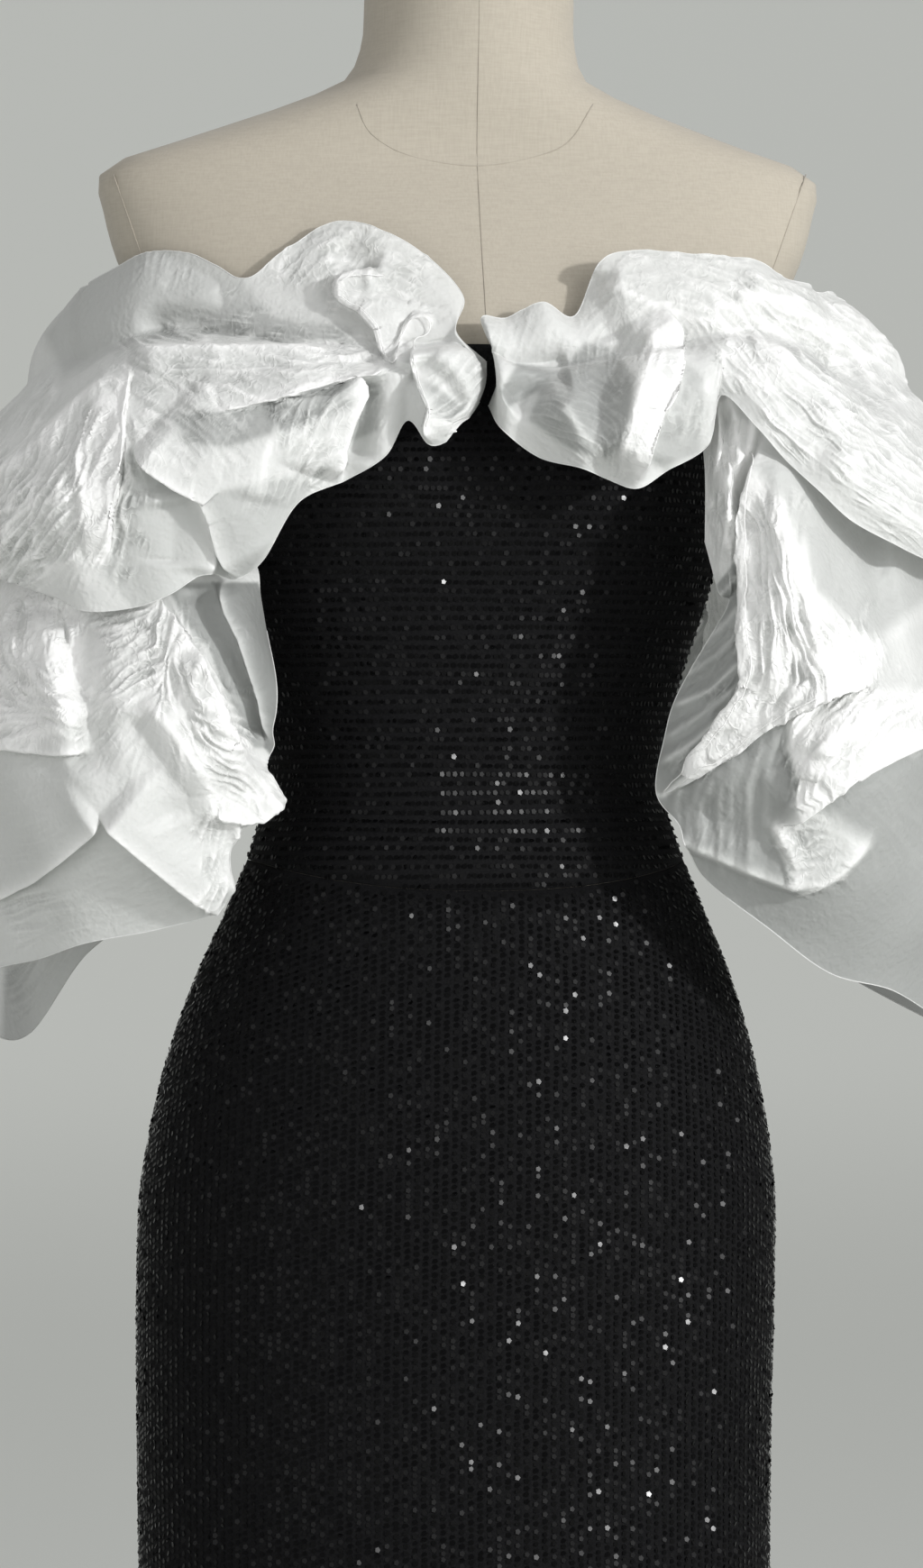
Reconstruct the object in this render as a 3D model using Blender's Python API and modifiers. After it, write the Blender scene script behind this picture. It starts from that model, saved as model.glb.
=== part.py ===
# Strapless maxi dress with two ruffled sleeves, on a dress form without limbs.
# Metres, +Z up. The front faces -Y and the wearer's left is at +X.
# The origin is on the floor, under the pole of the stand.

import math
from collections import namedtuple

import bmesh
import bpy
import numpy as np
from mathutils import Vector

MM = 0.001

# Cloth and seams
SEQUIN_WALL = 1.6 * MM
ORGANZA_WALL = 1.4 * MM
SEAM_GAP = 0.3 * MM
CLOTH_EASE = 0.8 * MM
RUFFLE_REST = 0.8 * MM
FLOUNCE_REST = 1.8 * MM
FRILL_CLEARANCE = 7 * MM

# Dress
WAIST_SEAM_FRONT = 1003 * MM
WAIST_SEAM_SIDE = 1018 * MM
NECKLINE_HEIGHT = 1293 * MM
NECKLINE_DIP = 10 * MM

# Stand
TORSO_BOTTOM = 800 * MM
POLE_RADIUS = 14 * MM
BASE_RADIUS = 160 * MM
BASE_THICKNESS = 10 * MM
BASE_BEVEL = 2 * MM

# Bust of the figure
BUST_HEIGHT = 1222 * MM
BUST_APART = 74 * MM
BUST_SPREAD = 48 * MM
BUST_RISE = 9 * MM

# The sleeves are drawn as they show from the front, from this far away
EYE_AWAY = 2.4
EYE_HEIGHT = 1.06
EYE_TURN = math.radians(-6)

# Mesh fineness
PANEL_AROUND = 16
BODICE_ROWS = 11
SKIRT_LEVELS = (22, 110, 210, 310, 410, 510, 600, 680, 750, 800, 838, 878, 915, 950, 982)

# Horizontal sections of the figure in millimetres. The skirt follows the lower ones
# down to the hem. Front and back are depths from the axis, lean is a shift along X.
Section = namedtuple("Section", "height half_width front back squareness lean")
FIGURE = (
    Section(20, 190, 160, 172, 2.1, -3),
    Section(200, 182, 150, 164, 2.1, -3),
    Section(450, 175, 140, 156, 2.2, -3),
    Section(625, 172, 134, 151, 2.2, -3),
    Section(710, 173, 131, 149, 2.2, -3),
    Section(790, 174, 127, 147, 2.2, -2),
    Section(838, 173, 123, 145, 2.2, -1),
    Section(878, 167, 118, 140, 2.2, 0),
    Section(920, 157, 111, 130, 2.2, 1),
    Section(950, 147, 106, 119, 2.2, 2),
    Section(990, 130, 100, 102, 2.2, 3),
    Section(1020, 118, 95, 88, 2.2, 3),
    Section(1060, 108, 90, 77, 2.2, 2),
    Section(1110, 113, 91, 80, 2.2, 1),
    Section(1160, 127, 97, 91, 2.3, 0),
    Section(1205, 140, 108, 99, 2.3, 0),
    Section(1240, 148, 113, 104, 2.3, 0),
    Section(1280, 159, 108, 105, 2.4, 0),
    Section(1320, 176, 92, 100, 2.5, 0),
    Section(1350, 190, 76, 90, 2.6, 0),
    Section(1380, 198, 62, 77, 2.6, 0),
    Section(1393, 200, 56, 69, 2.6, 0),
    Section(1400, 193, 54, 64, 2.6, 0),
    Section(1412, 160, 54, 60, 2.4, 0),
    Section(1424, 126, 56, 58, 2.2, 1),
    Section(1436, 93, 58, 55, 2.1, 2),
    Section(1448, 68, 60, 51, 2.0, 3),
    Section(1462, 61, 62, 47, 2.0, 4),
    Section(1495, 58, 67, 42, 2.0, 5),
    Section(1530, 57, 72, 37, 2.0, 5),
)

# One row for each fold line of a ruffle, from the centre front round to the side.
# Each place is (across, up, out) in millimetres: across and up as seen from the front,
# out towards the eye. The fold is how far the line stands out (+) or sinks in (-).
Fold = namedtuple("Fold", "crest seam brow belly hem fold")
RIGHT_RUFFLE = (
    Fold((15, 1294, 0), (15, 1290, 0), (15, 1286, 0), (14, 1280, 0), (11, 1272, 0), 0),
    Fold((-2, 1311, 112), (0, 1304, 122), (8, 1297, 146), (8, 1279, 156), (1, 1256, 148), 2),
    Fold((2, 1330, 102), (-10, 1305, 118), (-9, 1302, 156), (-14, 1280, 164), (-15, 1248, 154), 3),
    Fold((-16, 1351, 96), (-30, 1304, 112), (-30, 1297, 146), (-30, 1288, 158), (-29, 1262, 150), -6),
    Fold((-40, 1366, 92), (-47, 1304, 110), (-48, 1295, 142), (-48, 1283, 158), (-41, 1242, 150), 5),
    Fold((-69, 1372, 88), (-70, 1305, 106), (-70, 1298, 140), (-68, 1280, 158), (-63, 1229, 148), -5),
    Fold((-96, 1356, 84), (-92, 1308, 102), (-92, 1300, 140), (-90, 1270, 164), (-89, 1216, 146), 5),
    Fold((-119, 1339, 82), (-115, 1311, 98), (-115, 1301, 140), (-114, 1255, 168), (-110, 1184, 146), -5),
    Fold((-135, 1347, 78), (-135, 1313, 94), (-136, 1301, 138), (-137, 1245, 168), (-124, 1174, 140), 4),
    Fold((-152, 1354, 74), (-153, 1314, 90), (-156, 1300, 136), (-157, 1240, 168), (-142, 1177, 152), -6),
    Fold((-172, 1355, 66), (-171, 1312, 84), (-176, 1298, 130), (-177, 1235, 168), (-160, 1165, 155), 6),
    Fold((-191, 1347, 52), (-190, 1305, 74), (-200, 1290, 118), (-199, 1230, 166), (-182, 1158, 154), -5),
    Fold((-203, 1339, 36), (-205, 1296, 60), (-219, 1276, 102), (-219, 1222, 160), (-206, 1156, 147), 6),
    Fold((-207, 1335, 24), (-215, 1285, 46), (-236, 1259, 86), (-238, 1215, 148), (-227, 1164, 133), -6),
    Fold((-209, 1333, 16), (-222, 1276, 34), (-250, 1246, 66), (-254, 1207, 128), (-247, 1172, 108), 6),
    Fold((-210, 1332, 10), (-227, 1270, 22), (-262, 1239, 44), (-269, 1200, 96), (-265, 1176, 80), -5),
    Fold((-211, 1331, 5), (-230, 1266, 11), (-272, 1236, 22), (-282, 1195, 50), (-281, 1174, 42), 4),
    Fold((-211, 1331, 0), (-231, 1265, 0), (-277, 1235, 0), (-288, 1192, 0), (-288, 1173, 0), 0),
)
LEFT_RUFFLE = (
    Fold((21, 1296, 0), (23, 1292, 0), (23, 1288, 0), (20, 1280, 0), (16, 1270, 0), 0),
    Fold((12, 1318, 114), (18, 1300, 122), (19, 1298, 140), (22, 1280, 152), (23, 1257, 146), 2),
    Fold((27, 1319, 110), (31, 1294, 118), (35, 1290, 150), (40, 1270, 160), (45, 1242, 150), -5),
    Fold((45, 1327, 106), (50, 1294, 114), (51, 1288, 148), (60, 1265, 164), (66, 1235, 152), 5),
    Fold((65, 1320, 102), (70, 1296, 112), (72, 1290, 144), (81, 1260, 166), (85, 1229, 150), -5),
    Fold((77, 1349, 96), (88, 1300, 110), (90, 1294, 142), (101, 1265, 162), (98, 1224, 150), 6),
    Fold((97, 1356, 92), (107, 1304, 108), (109, 1298, 138), (117, 1270, 156), (116, 1234, 146), -6),
    Fold((127, 1354, 88), (131, 1308, 104), (132, 1302, 136), (140, 1280, 152), (137, 1248, 142), 4),
    Fold((145, 1353, 84), (150, 1312, 98), (151, 1307, 134), (149, 1296, 148), (146, 1276, 148), -4),
    Fold((165, 1350, 76), (167, 1311, 92), (170, 1304, 134), (169, 1282, 156), (164, 1258, 154), 5),
    Fold((181, 1341, 62), (184, 1306, 82), (191, 1296, 128), (191, 1266, 160), (182, 1240, 156), -5),
    Fold((192, 1337, 48), (196, 1300, 70), (210, 1283, 116), (211, 1246, 160), (199, 1222, 154), 6),
    Fold((199, 1333, 34), (206, 1292, 56), (227, 1268, 104), (230, 1228, 154), (219, 1206, 148), -5),
    Fold((203, 1329, 24), (213, 1283, 43), (242, 1254, 88), (248, 1214, 140), (240, 1193, 132), 6),
    Fold((204, 1327, 16), (218, 1276, 31), (254, 1244, 68), (262, 1204, 118), (257, 1186, 110), -5),
    Fold((205, 1326, 10), (222, 1270, 20), (264, 1238, 46), (274, 1198, 86), (270, 1180, 80), 5),
    Fold((206, 1325, 5), (225, 1266, 10), (271, 1235, 23), (282, 1195, 46), (279, 1178, 42), -3),
    Fold((206, 1325, 0), (226, 1265, 0), (275, 1234, 0), (286, 1192, 0), (284, 1176, 0), 0),
)

# The flounce under each ruffle, from its front edge round to the side.
Drop = namedtuple("Drop", "root shoulder belly hem fold")
RIGHT_FLOUNCE = (
    Drop((-120, 1195, 112), (-115, 1180, 118), (-111, 1165, 120), (-107, 1145, 118), 0),
    Drop((-137, 1200, 118), (-127, 1175, 134), (-115, 1145, 136), (-101, 1114, 124), 3),
    Drop((-155, 1200, 122), (-147, 1160, 146), (-127, 1115, 146), (-103, 1084, 120), -4),
    Drop((-172, 1200, 124), (-165, 1145, 150), (-137, 1095, 150), (-106, 1070, 118), 5),
    Drop((-190, 1200, 124), (-182, 1135, 152), (-152, 1080, 156), (-98, 1050, 120), -5),
    Drop((-205, 1200, 122), (-199, 1125, 154), (-172, 1065, 160), (-115, 1039, 122), 6),
    Drop((-219, 1200, 114), (-213, 1115, 152), (-185, 1050, 158), (-129, 1025, 120), -5),
    Drop((-232, 1200, 102), (-228, 1110, 146), (-200, 1037, 152), (-129, 993, 114), 5),
    Drop((-244, 1200, 86), (-243, 1105, 134), (-215, 1030, 140), (-166, 980, 112), -6),
    Drop((-254, 1200, 66), (-260, 1100, 120), (-232, 1022, 120), (-205, 972, 102), 6),
    Drop((-262, 1200, 43), (-276, 1097, 88), (-252, 1020, 92), (-235, 963, 84), -6),
    Drop((-267, 1200, 21), (-288, 1095, 46), (-273, 1017, 52), (-260, 956, 52), 5),
    Drop((-269, 1200, 0), (-294, 1092, 0), (-286, 1015, 0), (-278, 940, 0), 0),
)
LEFT_FLOUNCE = (
    Drop((139, 1284, 114), (138, 1260, 118), (137, 1230, 122), (136, 1195, 120), 0),
    Drop((150, 1288, 118), (151, 1225, 136), (148, 1190, 138), (143, 1167, 128), 4),
    Drop((162, 1282, 122), (166, 1205, 146), (163, 1175, 146), (155, 1159, 130), -4),
    Drop((175, 1273, 126), (181, 1190, 156), (167, 1150, 154), (139, 1132, 126), 5),
    Drop((187, 1262, 128), (195, 1170, 162), (175, 1125, 158), (126, 1107, 122), -5),
    Drop((199, 1251, 126), (207, 1150, 166), (182, 1100, 158), (114, 1089, 118), 6),
    Drop((211, 1239, 118), (220, 1130, 164), (185, 1075, 156), (111, 1055, 116), -5),
    Drop((223, 1226, 104), (232, 1112, 158), (195, 1055, 152), (123, 1035, 114), 5),
    Drop((235, 1214, 86), (245, 1100, 146), (202, 1035, 146), (136, 1009, 112), -6),
    Drop((246, 1200, 64), (257, 1090, 124), (220, 1015, 130), (170, 980, 108), 6),
    Drop((255, 1197, 42), (273, 1087, 92), (245, 1002, 102), (207, 955, 96), -6),
    Drop((261, 1195, 20), (286, 1087, 50), (268, 995, 60), (240, 945, 66), 5),
    Drop((263, 1195, 0), (292, 1087, 0), (282, 990, 0), (270, 925, 0), 0),
)

# How strongly a fold shows at each place of its line
RUFFLE_FOLD_SHARE = (0.7, 0.1, 0.5, 0.9, 1.0)
FLOUNCE_FOLD_SHARE = (0.1, 0.6, 0.9, 1.0)
# Steps along the line between one place and the next
RUFFLE_STEPS = (3, 1, 2, 2)
FLOUNCE_STEPS = (3, 2, 2)
HEADING_PUFF = 14 * MM
BACK_HEM_DROP = 48 * MM
FLOUNCE_TUCK = 14 * MM

MATERIALS = {
    "sequins": ((0.012, 0.012, 0.013, 1), 0.35, 0.0),
    "organza": ((0.86, 0.86, 0.85, 1), 0.5, 0.0),
    "linen": ((0.70, 0.66, 0.57, 1), 0.85, 0.0),
    "steel": ((0.05, 0.05, 0.05, 1), 0.45, 0.8),
}


def clear_scene():
    for item in list(bpy.data.objects):
        bpy.data.objects.remove(item, do_unlink=True)


def make_material(name):
    colour, roughness, metallic = MATERIALS[name]
    material = bpy.data.materials.new(name)
    material.use_nodes = True
    shader = material.node_tree.nodes["Principled BSDF"]
    shader.inputs["Base Color"].default_value = colour
    shader.inputs["Roughness"].default_value = roughness
    shader.inputs["Metallic"].default_value = metallic
    return material


def add_object(name, mesh, material, collection):
    item = bpy.data.objects.new(name, mesh)
    item.data.materials.append(material)
    collection.objects.link(item)
    return item


def smooth_through(values, places, wanted):
    # Cubic curve through the values, with slopes from the neighbours
    values = np.asarray(values, float)
    slopes = np.gradient(values, places, axis=0)
    left = np.clip(np.searchsorted(places, wanted, "right") - 1, 0, len(places) - 2)
    span = places[left + 1] - places[left]
    t = (wanted - places[left]) / span
    shape = (-1,) + (1,) * (values.ndim - 1)
    t, span = t.reshape(shape), span.reshape(shape)
    return (
        (2 * t**3 - 3 * t**2 + 1) * values[left]
        + (t**3 - 2 * t**2 + t) * span * slopes[left]
        + (3 * t**2 - 2 * t**3) * values[left + 1]
        + (t**3 - t**2) * span * slopes[left + 1]
    )


def section_at(height):
    table = np.array(FIGURE)
    found = smooth_through(table, table[:, 0], np.array([height / MM]))[0]
    return Section(height, *(found[1:4] * MM), found[4], found[5] * MM)


def bust_at(x, height):
    rise = 0
    for centre in (-BUST_APART, BUST_APART):
        away = ((x - centre) ** 2 + (height - BUST_HEIGHT) ** 2) / BUST_SPREAD**2
        rise += BUST_RISE * math.exp(-away)
    return rise


def figure_point(height, angle, lift=0.0):
    # Angle 0 is at +X and minus a quarter turn is the front
    part = section_at(height)
    cosine, sine = math.cos(angle), math.sin(angle)
    depth = part.front if sine < 0 else part.back
    power = 2 / part.squareness
    x = part.half_width * math.copysign(abs(cosine) ** power, cosine)
    y = depth * math.copysign(abs(sine) ** power, sine)
    steep = part.squareness - 1
    normal = Vector((
        math.copysign(abs(x / part.half_width) ** steep / part.half_width, x),
        math.copysign(abs(y / depth) ** steep / depth, y),
        0,
    )).normalized()
    if sine < 0:
        y -= bust_at(x, height)
    return Vector((x + part.lean, y, height)) + lift * normal


def depth_at(x, height, front):
    # How far the figure reaches from the axis plane at this place
    part = section_at(height)
    share = min(abs(x - part.lean) / part.half_width, 1)
    depth = part.front if front else part.back
    reach = depth * (1 - share**part.squareness) ** (1 / part.squareness)
    return reach + (bust_at(x - part.lean, height) if front else 0)


def grid_mesh(name, grid, around=False):
    # One quad between each four neighbours of the grid, whose rows run across
    mesh = bpy.data.meshes.new(name)
    work = bmesh.new()
    points = [[work.verts.new(point) for point in row] for row in grid]
    width = len(points[0])
    for low, high in zip(points, points[1:]):
        for i in range(width if around else width - 1):
            j = (i + 1) % width
            work.faces.new((low[i], low[j], high[j], high[i]))
    if around:
        work.faces.new(list(reversed(points[0])))
        work.faces.new(points[-1])
    work.to_mesh(mesh)
    work.free()
    return mesh


def add_cloth(name, grid, wall, grow, material, collection):
    item = add_object(name, grid_mesh(name, grid), material, collection)
    solid = item.modifiers.new("wall", "SOLIDIFY")
    solid.thickness = wall
    solid.offset = grow
    return item


def waist_seam(angle):
    side = math.cos(angle) ** 2
    return WAIST_SEAM_FRONT + (WAIST_SEAM_SIDE - WAIST_SEAM_FRONT) * side


def bodice_height(row, angle):
    top = NECKLINE_HEIGHT - NECKLINE_DIP * math.cos(angle) ** 2
    return waist_seam(angle) + (top - waist_seam(angle)) * row / BODICE_ROWS


def add_torso(material, collection):
    # Its rings lie behind the rows of the cloth, so that the two never touch
    angles = [math.pi * i / PANEL_AROUND for i in range(2 * PANEL_AROUND)]
    rings = [[level * MM] * len(angles) for level in SKIRT_LEVELS if level * MM >= TORSO_BOTTOM]
    for row in range(BODICE_ROWS + 1):
        rings.append([bodice_height(row, angle) for angle in angles])
    rings += [
        [part.height * MM] * len(angles) for part in FIGURE if part.height * MM > NECKLINE_HEIGHT
    ]
    grid = [
        [figure_point(height, angle) for height, angle in zip(ring, angles)] for ring in rings
    ]
    mesh = grid_mesh("form_torso", grid, around=True)
    item = add_object("form_torso", mesh, material, collection)
    bevel = item.modifiers.new("rim", "BEVEL")
    bevel.width = 4 * MM
    bevel.segments = 2
    bevel.limit_method = "ANGLE"
    bevel.angle_limit = math.radians(60)
    return item


def add_disc(name, radius, low, high, sides, bevel_width, material, collection):
    mesh = bpy.data.meshes.new(name)
    work = bmesh.new()
    bmesh.ops.create_cone(
        work, cap_ends=True, segments=sides, radius1=radius, radius2=radius, depth=high - low
    )
    work.to_mesh(mesh)
    work.free()
    item = add_object(name, mesh, material, collection)
    item.location.z = (low + high) / 2
    if bevel_width:
        bevel = item.modifiers.new("rim", "BEVEL")
        bevel.width = bevel_width
        bevel.segments = 2
        bevel.limit_method = "ANGLE"
    return item


def panel_grid(front, rows):
    # Half of a tube round the figure, with a row for each height rule
    start = -math.pi if front else 0.0
    grid = []
    for height_at in rows:
        line = []
        for i in range(PANEL_AROUND + 1):
            angle = start + math.pi * i / PANEL_AROUND
            point = figure_point(height_at(angle), angle, CLOTH_EASE)
            if i in (0, PANEL_AROUND):
                point.y = -SEAM_GAP / 2 if front else SEAM_GAP / 2
            line.append(point)
        grid.append(line)
    return grid


def add_panels(material, collection):
    upper = [lambda angle: waist_seam(angle) + SEAM_GAP / 2]
    upper += [lambda angle, row=row: bodice_height(row, angle) for row in range(1, BODICE_ROWS + 1)]
    lower = [lambda angle, level=level: level * MM for level in SKIRT_LEVELS]
    lower += [lambda angle: waist_seam(angle) - SEAM_GAP / 2]
    for side, front in (("front", True), ("back", False)):
        for piece, rows in (("bodice_", upper), ("skirt_", lower)):
            grid = panel_grid(front, rows)
            add_cloth(piece + side, grid, SEQUIN_WALL, 1, material, collection)


def seen(across, up, out):
    # The point that shows at this place from the front, brought out towards the eye
    turn_x, turn_y = math.cos(EYE_TURN), math.sin(EYE_TURN)
    eye = Vector((EYE_AWAY * turn_y, -EYE_AWAY * turn_x, EYE_HEIGHT))
    flat = Vector((across * turn_x, across * turn_y, up))
    return flat + (eye - flat) * (out / EYE_AWAY)


def on_bodice(across, up, rest):
    # The same, brought out until it rests on the bodice
    out = 0.11
    for _ in range(8):
        point = seen(across, up, out)
        out += depth_at(point.x, point.z, True) + CLOTH_EASE + SEQUIN_WALL + rest + point.y
    return seen(across, up, out)


def row_points(row, place_count):
    return [Vector(place) * MM for place in row[:place_count]]


def front_lines(table, shares, seated, rest, tuck):
    # Each fold line as points in space, its fold pushed out level and its top tucked in
    lines = []
    for index, row in enumerate(table):
        line = []
        for number, (place, share) in enumerate(zip(row_points(row, len(shares)), shares)):
            if index == 0 and number < seated:
                line.append(on_bodice(place.x, place.y, rest))
                continue
            point = seen(*place)
            outward = Vector((point.x * 0.6, point.y, 0)).normalized()
            line.append(point + outward * (row.fold * MM * share - tuck * (1 - share)))
        lines.append(line)
    return lines


def back_lines(table, lines, shares, seated, rest, hem_drop):
    # The front lines turned over to the back, with each fold the other way
    last = lines[-1]
    back = []
    count = len(table) - 1
    for index in range(count - 1, -1, -1):
        row = table[index]
        nearness = (index / count) ** 2
        line = []
        for place, point in enumerate(lines[index]):
            share = shares[place]
            turned = Vector((point.x, 2 * last[place].y * nearness - point.y, point.z))
            outward = Vector((turned.x * 0.6, turned.y, 0)).normalized()
            turned -= outward * (2 * row.fold * MM * share)
            turned.z -= hem_drop * share**2 * math.sin(math.pi * nearness)
            if index == 0 and place < seated:
                reach = depth_at(point.x, point.z, False) + CLOTH_EASE + SEQUIN_WALL + rest
                turned = Vector((point.x, reach, point.z))
            line.append(turned)
        back.append(line)
    return back


def kept_off_figure(point):
    # Moved away from the figure where it would come too near
    part = section_at(point[2])
    if abs(point[0] - part.lean) < part.half_width:
        reach = depth_at(point[0], point[2], point[1] < 0) + FRILL_CLEARANCE
        if abs(point[1]) < reach:
            point[1] = math.copysign(reach, point[1])
    return point


def ruffle_grid(table, shares, steps, seated, rest, tuck, hem_drop, puff):
    # The first places of its two end lines, as many as seated, rest on the bodice
    front = front_lines(table, shares, seated, rest, tuck)
    back = back_lines(table, front, shares, seated, rest, hem_drop)
    lines = np.array([[tuple(point) for point in line] for line in front + back])
    # Two columns for each fold in front and one behind
    wanted = list(np.arange(0, len(front) - 1, 0.5)) + list(range(len(front) - 1, len(lines)))
    lines = smooth_through(lines, np.arange(len(lines)), np.array(wanted, float))
    along = []
    for span, count in enumerate(steps):
        along += [span + i / count for i in range(count)]
    along.append(len(steps))
    along = np.array(along, float)
    places = np.arange(len(shares))
    grid = []
    for line in lines:
        points = smooth_through(line, places, along)
        outward = line[-2] * (0.6, 1, 0)
        outward /= max(np.linalg.norm(outward), MM)
        swell = np.where(along < 1, np.sin(math.pi * np.clip(along, 0, 1)), 0)
        points += np.outer(swell * puff, outward)
        grid.append([kept_off_figure(point) for point in points])
    grid[0] = smooth_through(lines[0], places, along)
    grid[-1] = smooth_through(lines[-1], places, along)
    return grid


def add_sleeves(material, collection):
    for side, ruffle, flounce in (
        ("right", RIGHT_RUFFLE, RIGHT_FLOUNCE),
        ("left", LEFT_RUFFLE, LEFT_FLOUNCE),
    ):
        upper = ruffle_grid(
            ruffle, RUFFLE_FOLD_SHARE, RUFFLE_STEPS, 5, RUFFLE_REST, 0, 0, HEADING_PUFF
        )
        add_cloth(side + "_sleeve_ruffle", upper, ORGANZA_WALL, 0, material, collection)
        lower = ruffle_grid(
            flounce, FLOUNCE_FOLD_SHARE, FLOUNCE_STEPS, 1, FLOUNCE_REST, FLOUNCE_TUCK, BACK_HEM_DROP, 0
        )
        add_cloth(side + "_sleeve_flounce", lower, ORGANZA_WALL, 0, material, collection)


def main():
    clear_scene()
    collection = bpy.data.collections.new("maxi_dress_on_form")
    bpy.context.scene.collection.children.link(collection)
    materials = {name: make_material(name) for name in MATERIALS}
    add_torso(materials["linen"], collection)
    pole_low = BASE_THICKNESS + SEAM_GAP
    pole_high = TORSO_BOTTOM - SEAM_GAP
    add_disc("form_pole", POLE_RADIUS, pole_low, pole_high, 16, 0, materials["steel"], collection)
    add_disc("form_base", BASE_RADIUS, 0, BASE_THICKNESS, 40, BASE_BEVEL, materials["steel"], collection)
    add_panels(materials["sequins"], collection)
    add_sleeves(materials["organza"], collection)


main()
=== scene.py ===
import math

import bpy
import numpy as np
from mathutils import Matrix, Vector


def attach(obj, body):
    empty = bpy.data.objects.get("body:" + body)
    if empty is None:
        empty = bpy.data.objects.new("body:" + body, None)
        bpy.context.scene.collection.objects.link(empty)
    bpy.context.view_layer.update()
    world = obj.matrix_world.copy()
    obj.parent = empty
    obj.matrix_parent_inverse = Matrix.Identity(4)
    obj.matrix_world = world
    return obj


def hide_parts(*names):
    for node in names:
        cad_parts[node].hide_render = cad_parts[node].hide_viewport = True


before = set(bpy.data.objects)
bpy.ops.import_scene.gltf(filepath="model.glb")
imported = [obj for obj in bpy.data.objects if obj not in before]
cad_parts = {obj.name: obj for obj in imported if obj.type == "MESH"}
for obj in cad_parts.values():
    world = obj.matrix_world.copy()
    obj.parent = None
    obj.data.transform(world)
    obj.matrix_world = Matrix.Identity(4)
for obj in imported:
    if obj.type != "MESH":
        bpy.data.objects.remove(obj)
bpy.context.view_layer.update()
mm = 0.001
rng = np.random.RandomState(7)


# shader maths

class Value:
    # a node socket that can be added, multiplied and so on
    def __init__(self, shader, socket):
        self.shader, self.socket = shader, socket

    def combine(self, operation, first, second):
        node = self.shader.node("ShaderNodeMath", {"operation": operation}, {0: first, 1: second})
        return node(0)

    def __add__(self, other):
        return self.combine("ADD", self, other)

    def __radd__(self, other):
        return self.combine("ADD", other, self)

    def __sub__(self, other):
        return self.combine("SUBTRACT", self, other)

    def __rsub__(self, other):
        return self.combine("SUBTRACT", other, self)

    def __mul__(self, other):
        return self.combine("MULTIPLY", self, other)

    def __rmul__(self, other):
        return self.combine("MULTIPLY", other, self)


class Shader:
    # one material and the nodes added to it
    def __init__(self, name, **constants):
        self.material = bpy.data.materials.new(name)
        self.material.use_nodes = True
        self.tree = self.material.node_tree
        self.surface = self.tree.nodes["Principled BSDF"]
        for socket, amount in constants.items():
            self.surface.inputs[socket.replace("_", " ")].default_value = amount

    def node(self, kind, settings=None, sockets=None):
        made = self.tree.nodes.new(kind)
        for key, setting in (settings or {}).items():
            if key == "stops":
                ramp = made.color_ramp.elements
                for index, (place, colour) in enumerate(setting):
                    stop = ramp[index] if index < 2 else ramp.new(place)
                    stop.position, stop.color = place, colour
            else:
                setattr(made, key, setting)
        for key, amount in (sockets or {}).items():
            self.feed(made.inputs[key], amount)
        return lambda output: Value(self, made.outputs[output])

    def feed(self, socket, amount):
        if isinstance(amount, Value):
            self.tree.links.new(amount.socket, socket)
        else:
            socket.default_value = amount

    def set(self, name, amount):
        self.feed(self.surface.inputs[name], amount)

    def place(self, scale=(1, 1, 1)):
        where = self.node("ShaderNodeTexCoord")("Object")
        return self.node("ShaderNodeMapping", sockets={"Vector": where, "Scale": scale})("Vector")

    def noise(self, vector, scale, detail=3, roughness=0.5, warp=0.0):
        return self.node("ShaderNodeTexNoise", sockets={
            "Vector": vector, "Scale": scale, "Detail": detail,
            "Roughness": roughness, "Distortion": warp})("Fac")

    def ramp(self, fac, stops):
        return self.node("ShaderNodeValToRGB", {"stops": stops}, {"Fac": fac})("Color")

    def level(self, fac, low, high, toLow=0.0, toHigh=1.0):
        return self.node("ShaderNodeMapRange", {"interpolation_type": "SMOOTHSTEP"}, {
            "Value": fac, "From Min": low, "From Max": high,
            "To Min": toLow, "To Max": toHigh})("Result")

    def bump(self, height, strength, distance, under=None):
        sockets = {"Height": height, "Strength": strength, "Distance": distance}
        if under is not None:
            sockets["Normal"] = under
        return self.node("ShaderNodeBump", sockets=sockets)("Normal")


organzaLook = {
    "creaseSize": 260, "weaveSize": 900, "ridgeSize": 150, "ridgeSharpness": 9, "tintSize": 18,
    "tint": 0.12, "paintedLightTint": 0.5, "ridgeHighlightTint": 0.12, "crushedTint": 0.02, "roughness": (0.42, 0.58),
    "tones": [(0.0, (0.17, 0.175, 0.17, 1)), (0.25, (0.38, 0.39, 0.38, 1)),
              (0.5, (0.65, 0.66, 0.645, 1)), (1.0, (0.98, 0.98, 0.97, 1))],
    "through": (0.72, 0.73, 0.715, 1), "throughShare": 0.2,
}


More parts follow.
